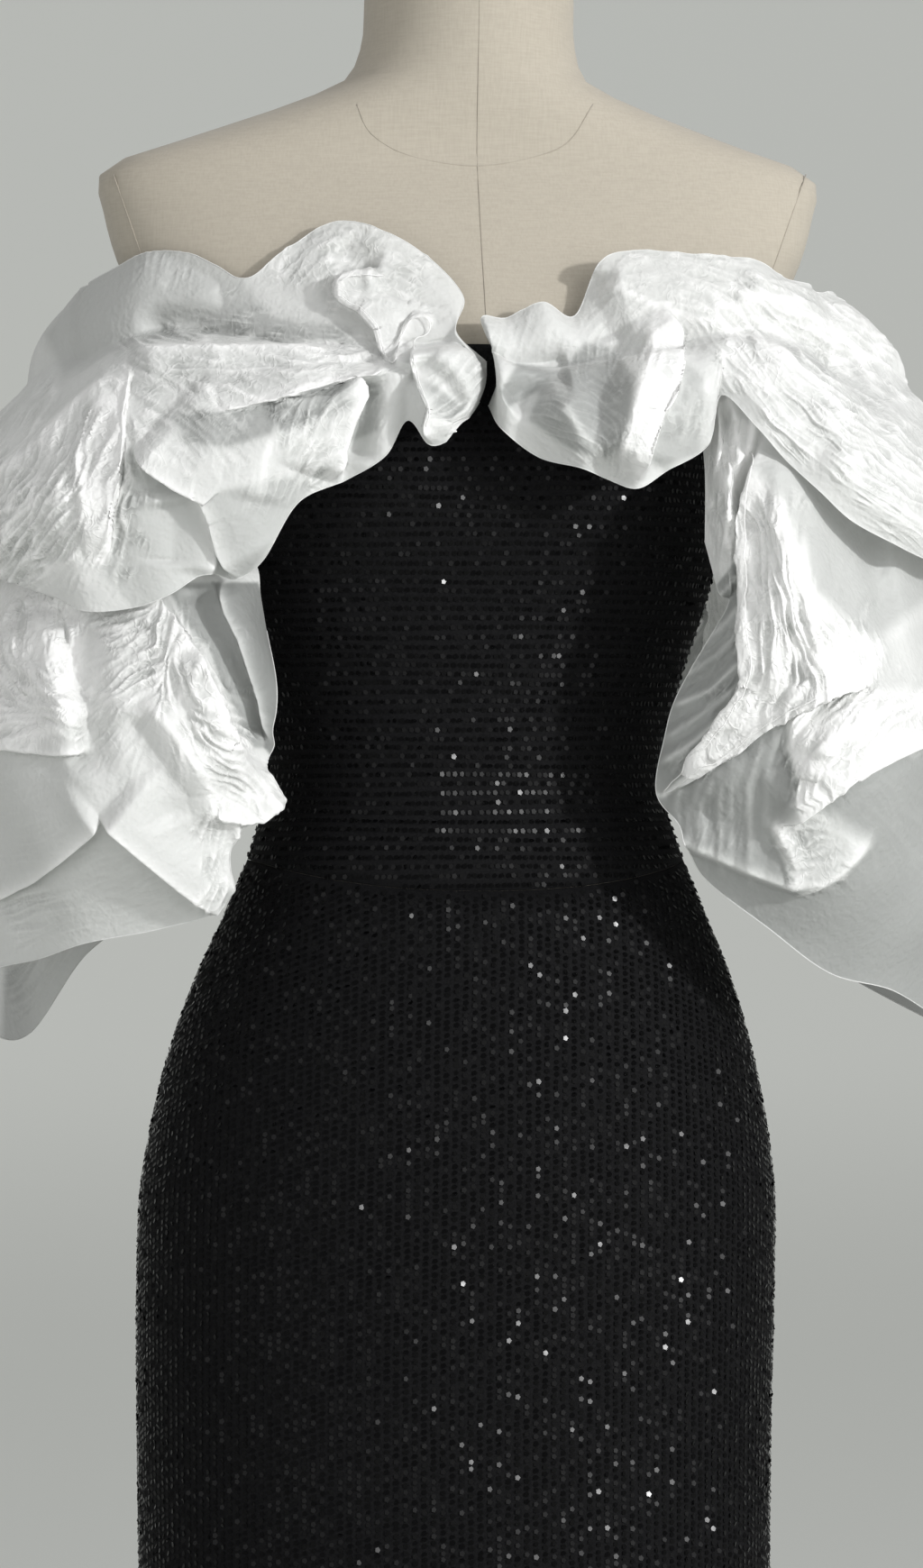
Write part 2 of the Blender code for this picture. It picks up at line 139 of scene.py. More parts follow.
def organzaMaterial():
    look = organzaLook
    s = Shader("organza", Sheen_Weight=0.2, Sheen_Roughness=0.4, Specular_IOR_Level=0.35)
    where = s.place()
    crush = s.level(s.noise(where, look["creaseSize"], 1), 0.3, 0.7)
    weave = s.noise(where, look["weaveSize"], 0)
    crestAndPaintedLight = s.node("ShaderNodeAttribute", {"attribute_name": "crestAndPaintedLight"})("Fac")
    crushed = s.node("ShaderNodeAttribute", {"attribute_name": "crushed"})("Fac")
    # fine sharp ridges where the cloth is crushed, used in the bumps and as a painted highlight in the
    # colour
    bent = s.noise(where, look["ridgeSize"], 1, 0.5, 0.9)
    away = s.node("ShaderNodeMath", {"operation": "ABSOLUTE"}, {0: bent - 0.5})(0)
    ridges = s.level(1 - away * look["ridgeSharpness"], 0.0, 1.0) * crushed
    # colour: a random tint, the painted light and shade from the sleeves' attribute, a painted highlight
    # on the fine ridges, and a little darker where the cloth is crushed
    tone = (s.noise(where, look["tintSize"], 1) * look["tint"] + crestAndPaintedLight * look["paintedLightTint"]
            + ridges * look["ridgeHighlightTint"] - crushed * look["crushedTint"] + 0.5)
    s.set("Base Color", s.ramp(tone, look["tones"]))
    smooth, rough = look["roughness"]
    s.set("Roughness", crush * (rough - smooth) + smooth)
    soft = s.bump(crush * 0.6 + ridges * 0.55, 0.5, 0.7 * mm)
    s.set("Normal", s.bump(weave, 0.1, 0.2 * mm, soft))
    # the light that comes through the thin cloth
    through = s.node("ShaderNodeBsdfTranslucent", sockets={"Color": look["through"]})("BSDF")
    whole = s.node("ShaderNodeMixShader", sockets={
        0: look["throughShare"], 1: Value(s, s.surface.outputs["BSDF"]), 2: through})("Shader")
    s.feed(s.tree.nodes["Material Output"].inputs["Surface"], whole)
    return s.material


def sequinMaterial():
    s = Shader("sequins", Base_Color=(0.0012, 0.0012, 0.0014, 1), Specular_IOR_Level=0.1)
    s.set("Roughness", s.level(s.noise(s.place(), 60, 2), 0.3, 0.7, 0.16, 0.28))
    return s.material


def meshClothMaterial():
    s = Shader("blackMesh", Roughness=0.8, Specular_IOR_Level=0.1)
    grain = s.noise(s.place(), 900, 2)
    dark, light = (0.002, 0.002, 0.0025, 1), (0.006, 0.006, 0.0065, 1)
    s.set("Base Color", s.ramp(grain, [(0.3, dark), (0.7, light)]))
    s.set("Normal", s.bump(grain, 0.3, 0.3 * mm))
    return s.material


def linenMaterial(name="linen", shade=1.0):
    s = Shader(name, Roughness=0.85, Sheen_Weight=0.15, Specular_IOR_Level=0.25)
    across = s.noise(s.place((900, 900, 90)), 1, 2)
    down = s.noise(s.place((120, 120, 1100)), 1, 2)
    threads = across * 0.5 + down * 0.5
    light = tuple(c * shade for c in (0.415, 0.378, 0.315)) + (1,)
    dark = tuple(c * shade for c in (0.376, 0.342, 0.284)) + (1,)
    s.set("Base Color", s.ramp(threads, [(0.35, dark), (0.62, light)]))
    s.set("Normal", s.bump(threads, 0.25, 0.4 * mm))
    return s.material


def steelMaterial():
    s = Shader("steel", Roughness=0.42, Metallic=0.85)
    mottle = s.noise(s.place(), 300, 3)
    dark, light = (0.03, 0.03, 0.032, 1), (0.06, 0.06, 0.062, 1)
    s.set("Base Color", s.ramp(mottle, [(0.3, dark), (0.7, light)]))
    s.set("Normal", s.bump(mottle, 0.12, 0.2 * mm))
    return s.material


# helpers for curves, noise and meshes

def smoothStep(share):
    share = np.clip(share, 0, 1)
    return share * share * (3 - 2 * share)


def smoothThrough(values, places, wanted):
    # cubic curve through the values, with slopes from the neighbours
    values, places, wanted = (np.asarray(a, float) for a in (values, places, wanted))
    slopes = np.gradient(values, places, axis=0)
    left = np.clip(np.searchsorted(places, wanted, "right") - 1, 0, len(places) - 2)
    shape = (-1,) + (1,) * (values.ndim - 1)
    span = (places[left + 1] - places[left]).reshape(shape)
    t = (wanted - places[left]).reshape(shape) / span
    return ((2 * t**3 - 3 * t**2 + 1) * values[left] + (t**3 - 2 * t**2 + t) * span * slopes[left]
            + (3 * t**2 - 2 * t**3) * values[left + 1] + (t**3 - t**2) * span * slopes[left + 1])


def fieldNoise(x, y, seed):
    # smooth random field of about -1 to 1
    turn = np.random.RandomState(seed).uniform(0, 2 * math.pi, (256, 256))
    column, row = np.floor(x).astype(int), np.floor(y).astype(int)
    fx, fy = x - column, y - row

    def corner(right, up):
        angle = turn[(column + right) & 255, (row + up) & 255]
        return np.cos(angle) * (fx - right) + np.sin(angle) * (fy - up)

    sx, sy = (f * f * f * (f * (f * 6 - 15) + 10) for f in (fx, fy))
    low = corner(0, 0) * (1 - sx) + corner(1, 0) * sx
    high = corner(0, 1) * (1 - sx) + corner(1, 1) * sx
    return 1.5 * (low * (1 - sy) + high * sy)


def newPiece(name, points, faces, material):
    mesh = bpy.data.meshes.new(name)
    mesh.from_pydata([tuple(p) for p in points], [], faces)
    mesh.polygons.foreach_set("use_smooth", [True] * len(mesh.polygons))
    mesh.materials.append(material)
    mesh.update()
    piece = bpy.data.objects.new(name, mesh)
    bpy.context.scene.collection.objects.link(piece)
    return piece


def gridFaces(rows, columns, around=False):
    across = np.arange(columns if around else columns - 1)
    i, j = np.meshgrid(np.arange(rows - 1), across, indexing="ij")
    k = (j + 1) % columns
    corners = (i * columns + j, i * columns + k, (i + 1) * columns + k, (i + 1) * columns + j)
    return np.stack(corners, -1).reshape(-1, 4).tolist()


def closedFaces(rows, around):
    # faces of a tube of rings, with a flat face at each end
    first, last = list(range(around))[::-1], [(rows - 1) * around + i for i in range(around)]
    return gridFaces(rows, around, around=True) + [first, last]


def tube(line, radius, sides):
    # points and faces of a round cord along a line
    line = np.asarray(line)
    along = np.gradient(line, axis=0)
    along /= np.linalg.norm(along, axis=1, keepdims=True) + 1e-12
    first = np.cross(along, (0.31, 0.52, 0.79))   # a way that no line here runs
    first /= np.linalg.norm(first, axis=1, keepdims=True)
    second = np.cross(along, first)
    turn = np.arange(sides) * 2 * math.pi / sides
    ring = np.cos(turn)[None, :, None] * first[:, None] + np.sin(turn)[None, :, None] * second[:, None]
    return (line[:, None] + radius * ring).reshape(-1, 3), closedFaces(len(line), sides)


def tubes(name, lines, radius, material, sides=6):
    points, faces, start = [], [], 0
    for line in lines:
        p, f = tube(line, radius, sides)
        points.append(p)
        faces += [[i + start for i in face] for face in f]
        start += len(p)
    return newPiece(name, np.concatenate(points), faces, material)


def clothArea(piece):
    return sum(face.area for face in piece.data.polygons)


# figure: height, halfWidth, front, back, squareness, lean in millimetres, as the solids have it
figure = np.array((
    (20, 190, 160, 172, 2.1, -3),
    (200, 182, 150, 164, 2.1, -3),
    (450, 175, 140, 156, 2.2, -3),
    (625, 172, 134, 151, 2.2, -3),
    (710, 173, 131, 149, 2.2, -3),
    (790, 174, 127, 147, 2.2, -2),
    (838, 173, 123, 145, 2.2, -1),
    (878, 167, 118, 140, 2.2, 0),
    (920, 157, 111, 130, 2.2, 1),
    (950, 147, 106, 119, 2.2, 2),
    (990, 130, 100, 102, 2.2, 3),
    (1020, 118, 95, 88, 2.2, 3),
    (1060, 108, 90, 77, 2.2, 2),
    (1110, 117, 91, 80, 2.2, 1),
    (1160, 134, 97, 91, 2.3, 0),
    (1205, 145, 108, 99, 2.3, 0),
    (1240, 150, 113, 104, 2.3, 0),
    (1280, 159, 108, 105, 2.4, 0),
    (1320, 176, 92, 100, 2.5, 0),
    (1350, 190, 76, 90, 2.6, 0),
    (1380, 198, 62, 77, 2.6, 0),
    (1393, 200, 56, 69, 2.6, 0),
    (1400, 193, 54, 64, 2.6, 0),
    (1412, 160, 54, 60, 2.4, 0),
    (1424, 126, 56, 58, 2.2, 1),
    (1436, 93, 58, 55, 2.1, 2),
    (1448, 68, 60, 51, 2.0, 3),
    (1462, 61, 62, 47, 2.0, 4),
    (1495, 58, 67, 42, 2.0, 5),
    (1530, 57, 72, 37, 2.0, 5),
), float)
bust = {"height": 1222 * mm, "apart": 74 * mm, "spread": 48 * mm, "rise": 9 * mm}


def bustAt(x, height):
    rise = 0
    for centre in (-bust["apart"], bust["apart"]):
        away = ((x - centre) ** 2 + (height - bust["height"]) ** 2) / bust["spread"] ** 2
        rise = rise + bust["rise"] * np.exp(-away)
    return rise


def sectionAt(height):
    found = smoothThrough(figure, figure[:, 0], np.ravel(height) / mm)
    return found[:, 1] * mm, found[:, 2] * mm, found[:, 3] * mm, found[:, 4], found[:, 5] * mm


def signedPower(value, power):
    return np.sign(value) * np.abs(value) ** power


def figurePoints(height, angle, lift=0.0):
    # points round the figure; angle 0 is at +X, minus a quarter turn is the front
    height, angle = np.broadcast_arrays(np.asarray(height, float), np.asarray(angle, float))
    shape = height.shape
    height, angle = height.ravel(), angle.ravel()
    halfWidth, front, back, square, lean = sectionAt(height)
    depth = np.where(np.sin(angle) < 0, front, back)
    x = halfWidth * signedPower(np.cos(angle), 2 / square)
    y = depth * signedPower(np.sin(angle), 2 / square)
    nx = signedPower(x / halfWidth, square - 1) / halfWidth
    ny = signedPower(y / depth, square - 1) / depth
    size = np.hypot(nx, ny) + 1e-9
    y = y - np.where(np.sin(angle) < 0, bustAt(x, height), 0)
    points = np.stack([x + lean + lift * nx / size, y + lift * ny / size, height], -1)
    return points.reshape(shape + (3,))


def depthAt(x, height, front):
    halfWidth, ahead, behind, square, lean = sectionAt(height)
    share = np.minimum(np.abs(x - lean) / halfWidth, 1)
    reach = np.where(front, ahead, behind) * (1 - share**square) ** (1 / square)
    return reach + np.where(front, bustAt(x - lean, np.ravel(height)), 0)


# the view that the sleeves are drawn from, which is the camera's too
eye = {"away": 2.4, "height": 1.06, "turn": math.radians(-6), "aim": 1 * mm, "photoTall": 0.87,
       "film": 36}
turnX, turnY = math.cos(eye["turn"]), math.sin(eye["turn"])
eyePoint = np.array([eye["away"] * turnY, -eye["away"] * turnX, eye["height"]])


def seen(across, up, out):
    # the point that shows at this place from the front, brought out towards the eye
    across, up, out = (np.asarray(a, float) for a in (across, up, out))
    flat = np.stack([across * turnX, across * turnY, up], -1)
    return flat + (eyePoint - flat) * (out / eye["away"])[..., None]


def seenAt(points):
    # (across, up) at which a point shows from the front
    away = points - eyePoint
    reach = eye["away"] / (away @ np.array([-turnY, turnX, 0]))
    flat = eyePoint + away * reach[..., None]
    return np.stack([flat[..., 0] * turnX + flat[..., 1] * turnY, flat[..., 2]], -1)


def onFront(across, up, lift=0.0):
    # the place on the figure's front that shows there, lifted off it
    across, up = np.atleast_1d(across).astype(float), np.atleast_1d(up).astype(float)
    out = np.full(across.shape, 0.1)
    for _ in range(12):                           # closes in on the surface
        point = seen(across, up, out)
        out = out + depthAt(point[..., 0], point[..., 2], True) + lift + point[..., 1]
    return seen(across, up, out)


def addCamera():
    data = bpy.data.cameras.new("camera")
    data.sensor_width = eye["film"]
    data.lens = data.sensor_width * eye["away"] / eye["photoTall"]
    camera = bpy.data.objects.new("camera", data)
    camera.location = eyePoint + eye["aim"] * np.array([turnX, turnY, 0])
    camera.rotation_euler = (math.radians(90), 0, eye["turn"])
    bpy.context.scene.collection.objects.link(camera)
    bpy.context.scene.camera = camera


# form

form = {
    "bottom": 800 * mm, "around": 80, "step": 9 * mm, "edge": 4 * mm,
    "rounding": ((0, 1), (0.5, 0.3), (1, 0)),     # shares of the edge, inwards and from the flat end
    "seamRadius": 0.4 * mm, "seamShade": 0.9, "middleSeam": (1270 * mm, 1524 * mm), "frontAside": 4 * mm,
    "neckFront": ((-57, 1437), (-50, 1422), (-34, 1411), (-12, 1405), (12, 1403), (38, 1407),
                  (60, 1416), (74, 1437)),
    "neckBack": {"across": (-62 * mm, 66 * mm), "top": 1438 * mm, "dip": 9 * mm, "half": 64 * mm},
    "armPlate": ((192, 1398), (184, 1375), (176, 1352), (166, 1325)),
}


def edgeRings(level, angles, way):
    # rings that round off one end of the torso, from its side to the flat
    rings = []
    for inwards, fromEnd in form["rounding"]:
        ring = figurePoints(level, angles, -form["edge"] * (1 - math.sqrt(1 - inwards**2)))
        ring[:, 2] = level + way * form["edge"] * fromEnd
        rings.append(ring)
    return rings


def addForm():
    linen = linenMaterial()
    bottom, top, edge = form["bottom"], figure[-1, 0] * mm, form["edge"]
    heights = np.append(np.arange(bottom, top, form["step"]), top)
    heights = heights[(heights > bottom + edge) & (heights < top - edge)]
    angles = np.linspace(0, 2 * math.pi, form["around"], endpoint=False)
    body = figurePoints(heights[:, None], angles[None, :])
    grid = np.concatenate([edgeRings(bottom, angles, 1)[::-1], body, edgeRings(top, angles, -1)])
    faces = closedFaces(len(grid), len(angles))
    torso = newPiece("formTorso", grid.reshape(-1, 3), faces, linen)
    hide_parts("form_torso")
    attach(torso, "root")
    thread = linenMaterial("linenSeam", form["seamShade"])
    seams = tubes("formSeams", formSeamLines(), form["seamRadius"], thread)
    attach(seams, "root")
    steel = steelMaterial()
    for node in ("form_pole", "form_base"):
        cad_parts[node].data.materials.clear()
        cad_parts[node].data.materials.append(steel)
    print("form done")


def formSeamLines():
    heights = np.linspace(*form["middleSeam"], 60)
    middle = np.zeros(60)
    lines = [np.stack([middle + form["frontAside"], -depthAt(middle, heights, True), heights], -1),
             np.stack([middle, depthAt(middle, heights, False), heights], -1)]
    # round the foot of the neck, in front and behind
    foot = smoothThrough(np.array(form["neckFront"]) * mm, np.arange(8), np.linspace(0, 7, 60))
    lines.append(onFront(foot[:, 0], foot[:, 1]))
    behind = form["neckBack"]
    across = np.linspace(*behind["across"], 40)
    up = behind["top"] - behind["dip"] * (1 - (across / behind["half"]) ** 2)
    lines.append(np.stack([across, depthAt(across, up, False), up], -1))
    for side in (-1, 1):
        edge = smoothThrough(np.array(form["armPlate"]) * mm, np.arange(4), np.linspace(0, 3, 30))
        lines.append(onFront(edge[:, 0] * side, edge[:, 1]))
    return lines


# dress

dress = {
    "ease": 0.8 * mm, "wall": 1.2 * mm, "gap": 0.3 * mm,
    "around": 48, "rows": {"bodice": 36, "skirt": 70},
    "hem": 22 * mm, "seamFront": 1003 * mm, "seamSide": 1018 * mm,
    "neckline": 1293 * mm, "neckDip": 10 * mm,
}
sequin = {
    "radius": 1.55 * mm, "sizes": (0.92, 1.06), "sides": 5, "lift": 0.55 * mm,
    "rowPitch": 4.9 * mm, "alongPitch": 3.5 * mm, "looseAcross": 0.12, "looseUp": 0.1,
    "wave": 0.5 * mm, "waveLength": 31 * mm, "wavePhase": 0.7,
    "fromSide": 1.2 * mm, "fromNeck": 1 * mm, "fromHem": 2 * mm, "fromWaist": (1 * mm, 2 * mm),
    "firstRow": 3 * mm,
    "overlapTilt": math.radians(8), "randomTilt": math.radians(13), "rowTilt": math.radians(5),
    # the level rows at the waist that catch the light together
    "glintRows": (1033 * mm, 1067 * mm), "glintUp": math.radians(8.5), "glintTurn": math.radians(17.5),
    "glintLoose": 0.35, "glintReach": math.radians(25),
}


def waistSeam(angle):
    return dress["seamFront"] + (dress["seamSide"] - dress["seamFront"]) * np.cos(angle) ** 2


def necklineAt(angle):
    return dress["neckline"] - dress["neckDip"] * np.cos(angle) ** 2


def halfRound(front, steps):
    start = -math.pi if front else 0
    return np.linspace(start, start + math.pi, steps + 1)


def panel(name, front, low, high, rows, black):
    # a half round of cloth between two edges, with its wall outside
    angle = halfRound(front, dress["around"])
    share = np.linspace(0, 1, rows + 1)[:, None]
    height = low + (high - low) * share
    grid = figurePoints(height, np.broadcast_to(angle, height.shape), dress["ease"])
    grid[:, (0, -1), 1] = (-1 if front else 1) * dress["gap"] / 2
    piece = newPiece(name, grid.reshape(-1, 3), gridFaces(*grid.shape[:2]), black)
    wall = piece.modifiers.new("wall", "SOLIDIFY")
    wall.thickness, wall.offset = dress["wall"], 1
    return piece


def ringLengths(height, front, steps=180):
    # a half round's angles, and its lengths from the centre
    angle = halfRound(front, steps)
    ring = figurePoints(np.full(steps + 1, height), angle, dress["ease"] + dress["wall"])
    length = np.r_[0, np.cumsum(np.linalg.norm(np.diff(ring, axis=0), axis=1))]
    return angle, length - length[steps // 2]


def sequinPlaces(front, upright, low, high):
    # height, angle, lean of its row and whether it glints, for each sequin; the rows are level,
    # or upright where the cloth is turned
    found = []
    pitchUp = sequin["alongPitch"] if upright else sequin["rowPitch"]
    pitchAcross = sequin["rowPitch"] if upright else sequin["alongPitch"]
    glintLow, glintHigh = sequin["glintRows"]
    for number, level in enumerate(np.arange(low, high, pitchUp)):
        angle, length = ringLengths(level, front)
        count = int(length[-1] / pitchAcross)
        shift = 0.5 if number % 2 and not upright else 0.0
        where = (np.arange(-count, count + 1) + shift) * pitchAcross
        if not upright:
            loose = sequin["looseAcross"]
            where = where + rng.uniform(-loose, loose, len(where)) * pitchAcross
        inside = (where > length[0] + sequin["fromSide"]) & (where < length[-1] - sequin["fromSide"])
        where = where[inside]
        up = np.full(len(where), level)
        if upright:
            loose = sequin["looseUp"]
            up = up + ((np.round(where / pitchAcross) % 2) * 0.5) * pitchUp
            up = up + rng.uniform(-loose, loose, len(where)) * pitchUp
        else:
            phase = number * sequin["wavePhase"]
            up = up + sequin["wave"] * np.sin(where / sequin["waveLength"] + phase)
        rowLean = np.full(len(where), rng.normal(0, sequin["rowTilt"]))
        glints = not upright and number % 2 == 0 and glintLow < level < glintHigh
        found.append(np.stack([up, np.interp(where, length, angle), rowLean,
                               np.full(len(where), glints)], -1))
    return np.concatenate(found)


def sequinPiece(name, places, material):
    height, angle = places[:, 0], places[:, 1]
    lift = dress["ease"] + dress["wall"] + sequin["lift"]
    centre = figurePoints(height, angle, lift)
    step, turned = 0.5 * mm, 0.01
    up = figurePoints(height + step, angle, lift) - figurePoints(height - step, angle, lift)
    across = figurePoints(height, angle + turned, lift) - figurePoints(height, angle - turned, lift)
    up /= np.linalg.norm(up, axis=1, keepdims=True)
    across /= np.linalg.norm(across, axis=1, keepdims=True)
    normal = np.cross(across, up)
    normal /= np.linalg.norm(normal, axis=1, keepdims=True)
    count = len(centre)
    rise, aside = rng.normal(0, sequin["randomTilt"], (2, count))
    toGlint = np.arctan2(normal[:, 0], -normal[:, 1]) - sequin["glintTurn"]
    glints = (places[:, 3] > 0) & (np.abs(toGlint) < sequin["glintReach"])
    rise = np.where(glints, sequin["glintUp"] - np.arcsin(normal[:, 2]) + sequin["glintLoose"] * rise,
                    rise + sequin["overlapTilt"] + places[:, 2])
    aside = np.where(glints, toGlint + sequin["glintLoose"] * aside, aside)
    wide = across + normal * aside[:, None]
    tall = up - normal * rise[:, None]
    wide /= np.linalg.norm(wide, axis=1, keepdims=True)
    tall /= np.linalg.norm(tall, axis=1, keepdims=True)
    sides = sequin["sides"]
    turn = np.arange(sides) * 2 * math.pi / sides
    size = sequin["radius"] * rng.uniform(*sequin["sizes"], count)
    ring = np.cos(turn)[None, :, None] * wide[:, None] + np.sin(turn)[None, :, None] * tall[:, None]
    points = centre[:, None] + size[:, None, None] * ring
    faces = np.arange(count * sides).reshape(count, sides).tolist()
    piece = newPiece(name, points.reshape(-1, 3), faces, material)
    piece.data.polygons.foreach_set("use_smooth", [False] * count)
    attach(piece, "root")
    return piece


def addDress():
    black, shiny = meshClothMaterial(), sequinMaterial()
    half, rows = dress["gap"] / 2, dress["rows"]
    aboveWaist, belowWaist = sequin["fromWaist"]
    for side, front in (("Front", True), ("Back", False)):
        angle = halfRound(front, dress["around"])
        waist, hem = waistSeam(angle), np.full(len(angle), dress["hem"])
        bodice = panel("bodice" + side, front, waist + half, necklineAt(angle), rows["bodice"], black)
        places = sequinPlaces(front, False, dress["seamFront"] + sequin["firstRow"], dress["neckline"])
        keep = places[:, 0] > waistSeam(places[:, 1]) + aboveWaist
        keep &= places[:, 0] < necklineAt(places[:, 1]) - sequin["fromNeck"]
        spangles = sequinPiece("bodiceSequins" + side, places[keep], shiny)
        finishPanel(bodice, spangles, "bodice_" + side.lower())
        skirt = panel("skirt" + side, front, hem, waist - half, rows["skirt"], black)
        places = sequinPlaces(front, True, dress["hem"] + sequin["fromHem"], dress["seamSide"])
        keep = places[:, 0] < waistSeam(places[:, 1]) - belowWaist
        spangles = sequinPiece("skirtSequins" + side, places[keep], shiny)
        finishPanel(skirt, spangles, "skirt_" + side.lower())
    print("dress done")


def finishPanel(piece, spangles, node):
    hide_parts(node)
    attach(piece, "root")
    print(piece.name, "area", round(clothArea(piece), 4), "sequins", len(spangles.data.polygons))
